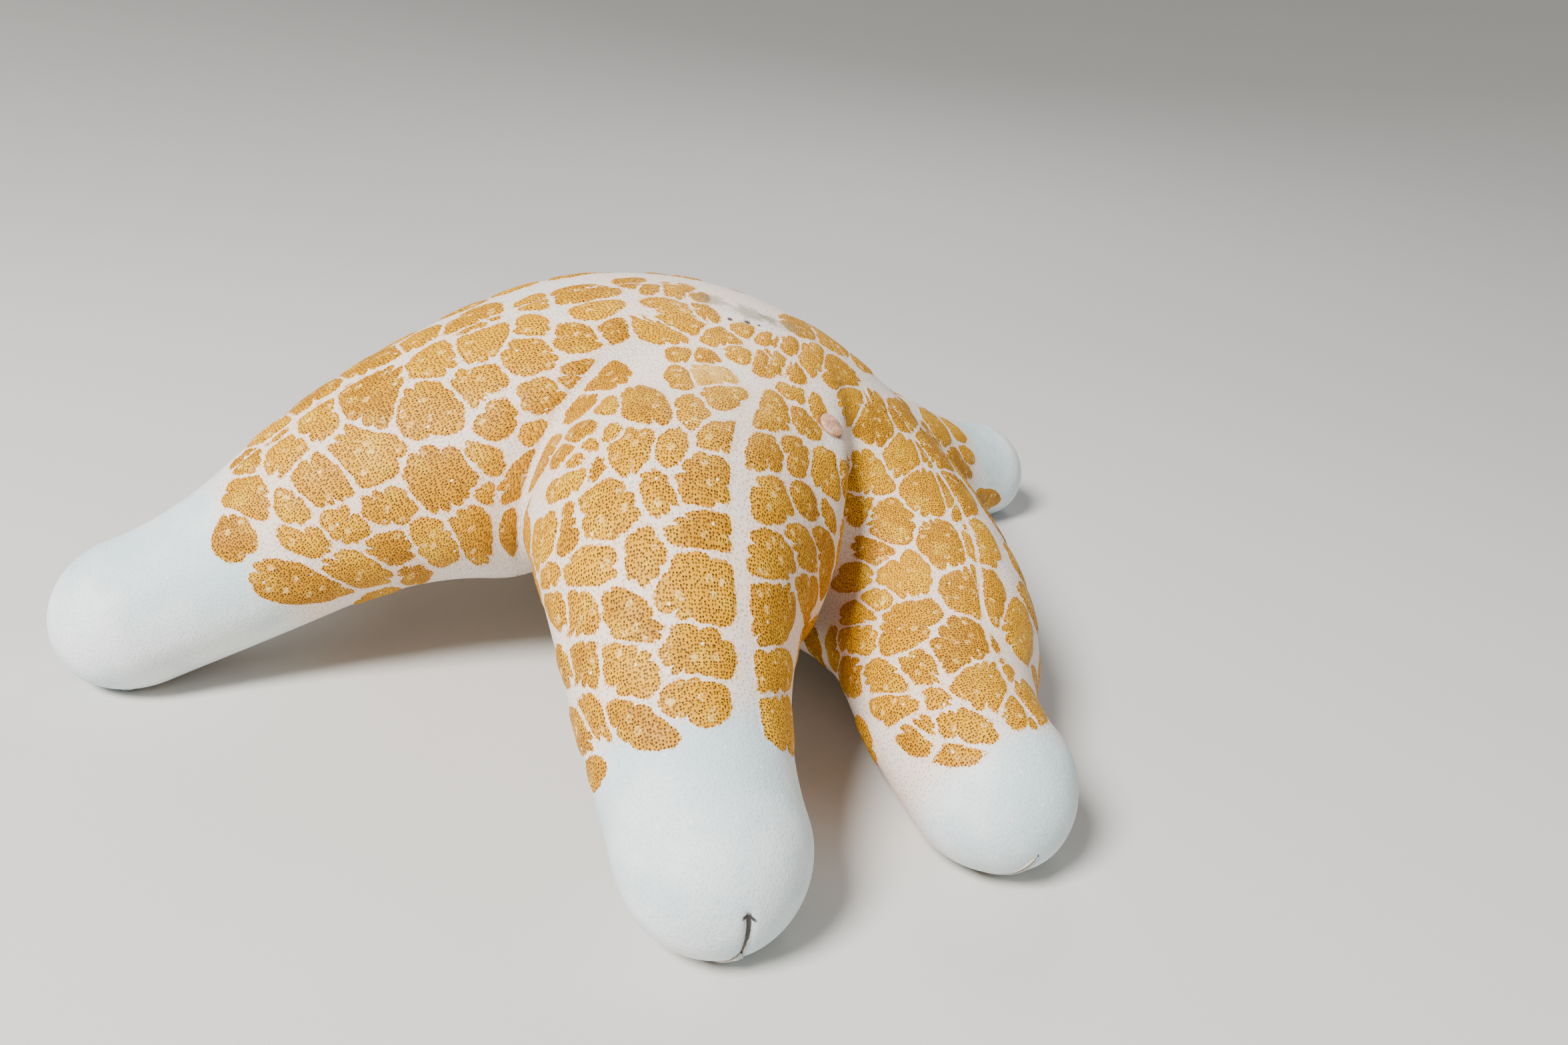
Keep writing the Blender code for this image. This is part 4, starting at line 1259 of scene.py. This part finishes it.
# The small pieces' materials: from which colour to which, noise per metre, roughness, bump in metres
pieceLook = {
    "sieve plate skin": (tint(214, 170, 140), tint(176, 124, 94), 1400.0, 0.6, 0.00006),
    "mouth skin": (tint(190, 134, 112), tint(150, 92, 78), 700.0, 0.32, 0.00012),
    "tube foot skin": (tint(222, 196, 160), tint(240, 232, 214), 900.0, 0.35, 0.00008),
    "spine skin": (tint(206, 168, 120), tint(236, 214, 176), 900.0, 0.35, 0.00008),
}


def pieceMaterial(name, turned=False):
    # one colour that goes unevenly into another with a fine grain, on a small turned part from
    # its root to its tip
    first, second, scale, roughness, bumpHeight = pieceLook[name]
    material, tree, shader = newMaterial(name, roughness)
    grain = noise(objectPlace(tree), scale, 3.0 if turned else 4.0)
    share = ramp(attributeOf(tree, "length") + grain * 0.3, 0.35, 1.0) if turned else ramp(grain, 0.3, 0.7)
    feed(shader["Base Color"], mixed(share, first, second))
    addBump(shader, grain * bumpHeight, 0.6 if turned else 0.8)
    return material


skin.data.materials.append(skinMaterial())
sievePlate.data.materials.append(pieceMaterial("sieve plate skin"))
tubeFeet.data.materials.append(pieceMaterial("tube foot skin", True))
grooveSpines.data.materials.append(pieceMaterial("spine skin", True))
mouthMaterial = pieceMaterial("mouth skin")
for slot in bpy.data.objects["mouth_skin"].material_slots:
    slot.material = mouthMaterial
print("skin painted")


# Floor, light and camera
studio = {
    "floorFlat": 0.45,          # the floor is flat to here, then curves up into a plain back wall
    "floorRun": 2.8,
    "floorRise": 1.5,
    "floorRings": (8, 32),      # on the flat and on the curve
    "floorSides": 96,
    "floorColour": tint(206, 204, 200),
    "floorShade": 0.97,
    "cameraPlace": (0.033028, -0.243865, 0.125460),
    "cameraRight": (0.993655, 0.041635, 0.104485),
    "cameraUp": (-0.112475, 0.367819, 0.923070),
    "cameraBack": (0.0, -0.928965, 0.370168),
    "lens": 26.17,
    "sensorWidth": 36.0,
    "lightsAim": (0.0, -0.02, 0.03),
    "world": (0.92, 0.94, 0.96),
    "worldStrength": 0.20,
    # place, size, power and colour of each soft light
    "lights": (
        ("key light", (-0.52, -0.72, 0.92), 0.40, 41.0, (1.0, 0.985, 0.96)),
        ("fill light", (0.80, -0.35, 0.60), 0.60, 1.4, (0.94, 0.97, 1.0)),
        ("rim light", (0.10, 0.80, 0.75), 0.50, 3.2, (0.96, 0.98, 1.0)),
    ),
}


def buildFloor():
    # a flat round floor whose edge curves up: height = rise times the square of the run's share
    look = studio
    flatRings, curvedRings = look["floorRings"]
    run = np.concatenate([np.zeros(flatRings), np.linspace(0.0, 1.0, curvedRings + 1)[1:]])[:, None]
    flat = np.minimum(np.arange(1, len(run) + 1) / flatRings, 1.0)[:, None] * look["floorFlat"]
    radii = flat + look["floorRun"] * run
    angle = fullTurn(look["floorSides"])[None, :]
    heights = look["floorRise"] * run ** 2 + 0.0 * angle
    points = np.stack([radii * np.cos(angle), radii * np.sin(angle), heights], -1).reshape(-1, 3)
    faces = ringFaces(len(run), look["floorSides"]) + fanFaces(len(points), 0, look["floorSides"])
    return newMesh("floor", np.concatenate([points, np.zeros((1, 3))]), faces)


def putInScene(name, data, matrix):
    # a light or camera put into the scene
    made = bpy.data.objects.new(name, data)
    made.matrix_world = matrix
    bpy.context.scene.collection.objects.link(made)
    return made


def buildStudio():
    look = studio
    floor = buildFloor()
    shade = tuple(c * look["floorShade"] for c in look["floorColour"])
    material, tree, shader = newMaterial("pale floor", 0.8)
    feed(shader["Base Color"], mixed(noise(objectPlace(tree), 6.0), look["floorColour"], shade))
    floor.data.materials.append(material)
    world = bpy.data.worlds.new("studio")
    world.use_nodes = True
    feedAll(world.node_tree.nodes["Background"].inputs, Color=look["world"], Strength=look["worldStrength"])
    bpy.context.scene.world = world
    for name, spot, size, power, colour in look["lights"]:
        lamp = bpy.data.lights.new(name, "AREA")
        lamp.shape, lamp.size, lamp.energy, lamp.color = "DISK", size, power, colour
        turn = (Vector(look["lightsAim"]) - Vector(spot)).to_track_quat("-Z", "Y").to_matrix()
        putInScene(name, lamp, Matrix.Translation(spot) @ turn.to_4x4())
    camera = bpy.data.cameras.new("camera")
    camera.lens, camera.sensor_width, camera.clip_start = look["lens"], look["sensorWidth"], 0.01
    turn = Matrix((look["cameraRight"], look["cameraUp"], look["cameraBack"])).transposed()
    spot = Matrix.Translation(look["cameraPlace"])
    bpy.context.scene.camera = putInScene("camera", camera, spot @ turn.to_4x4())


buildStudio()
print("floor, lights and camera in place")
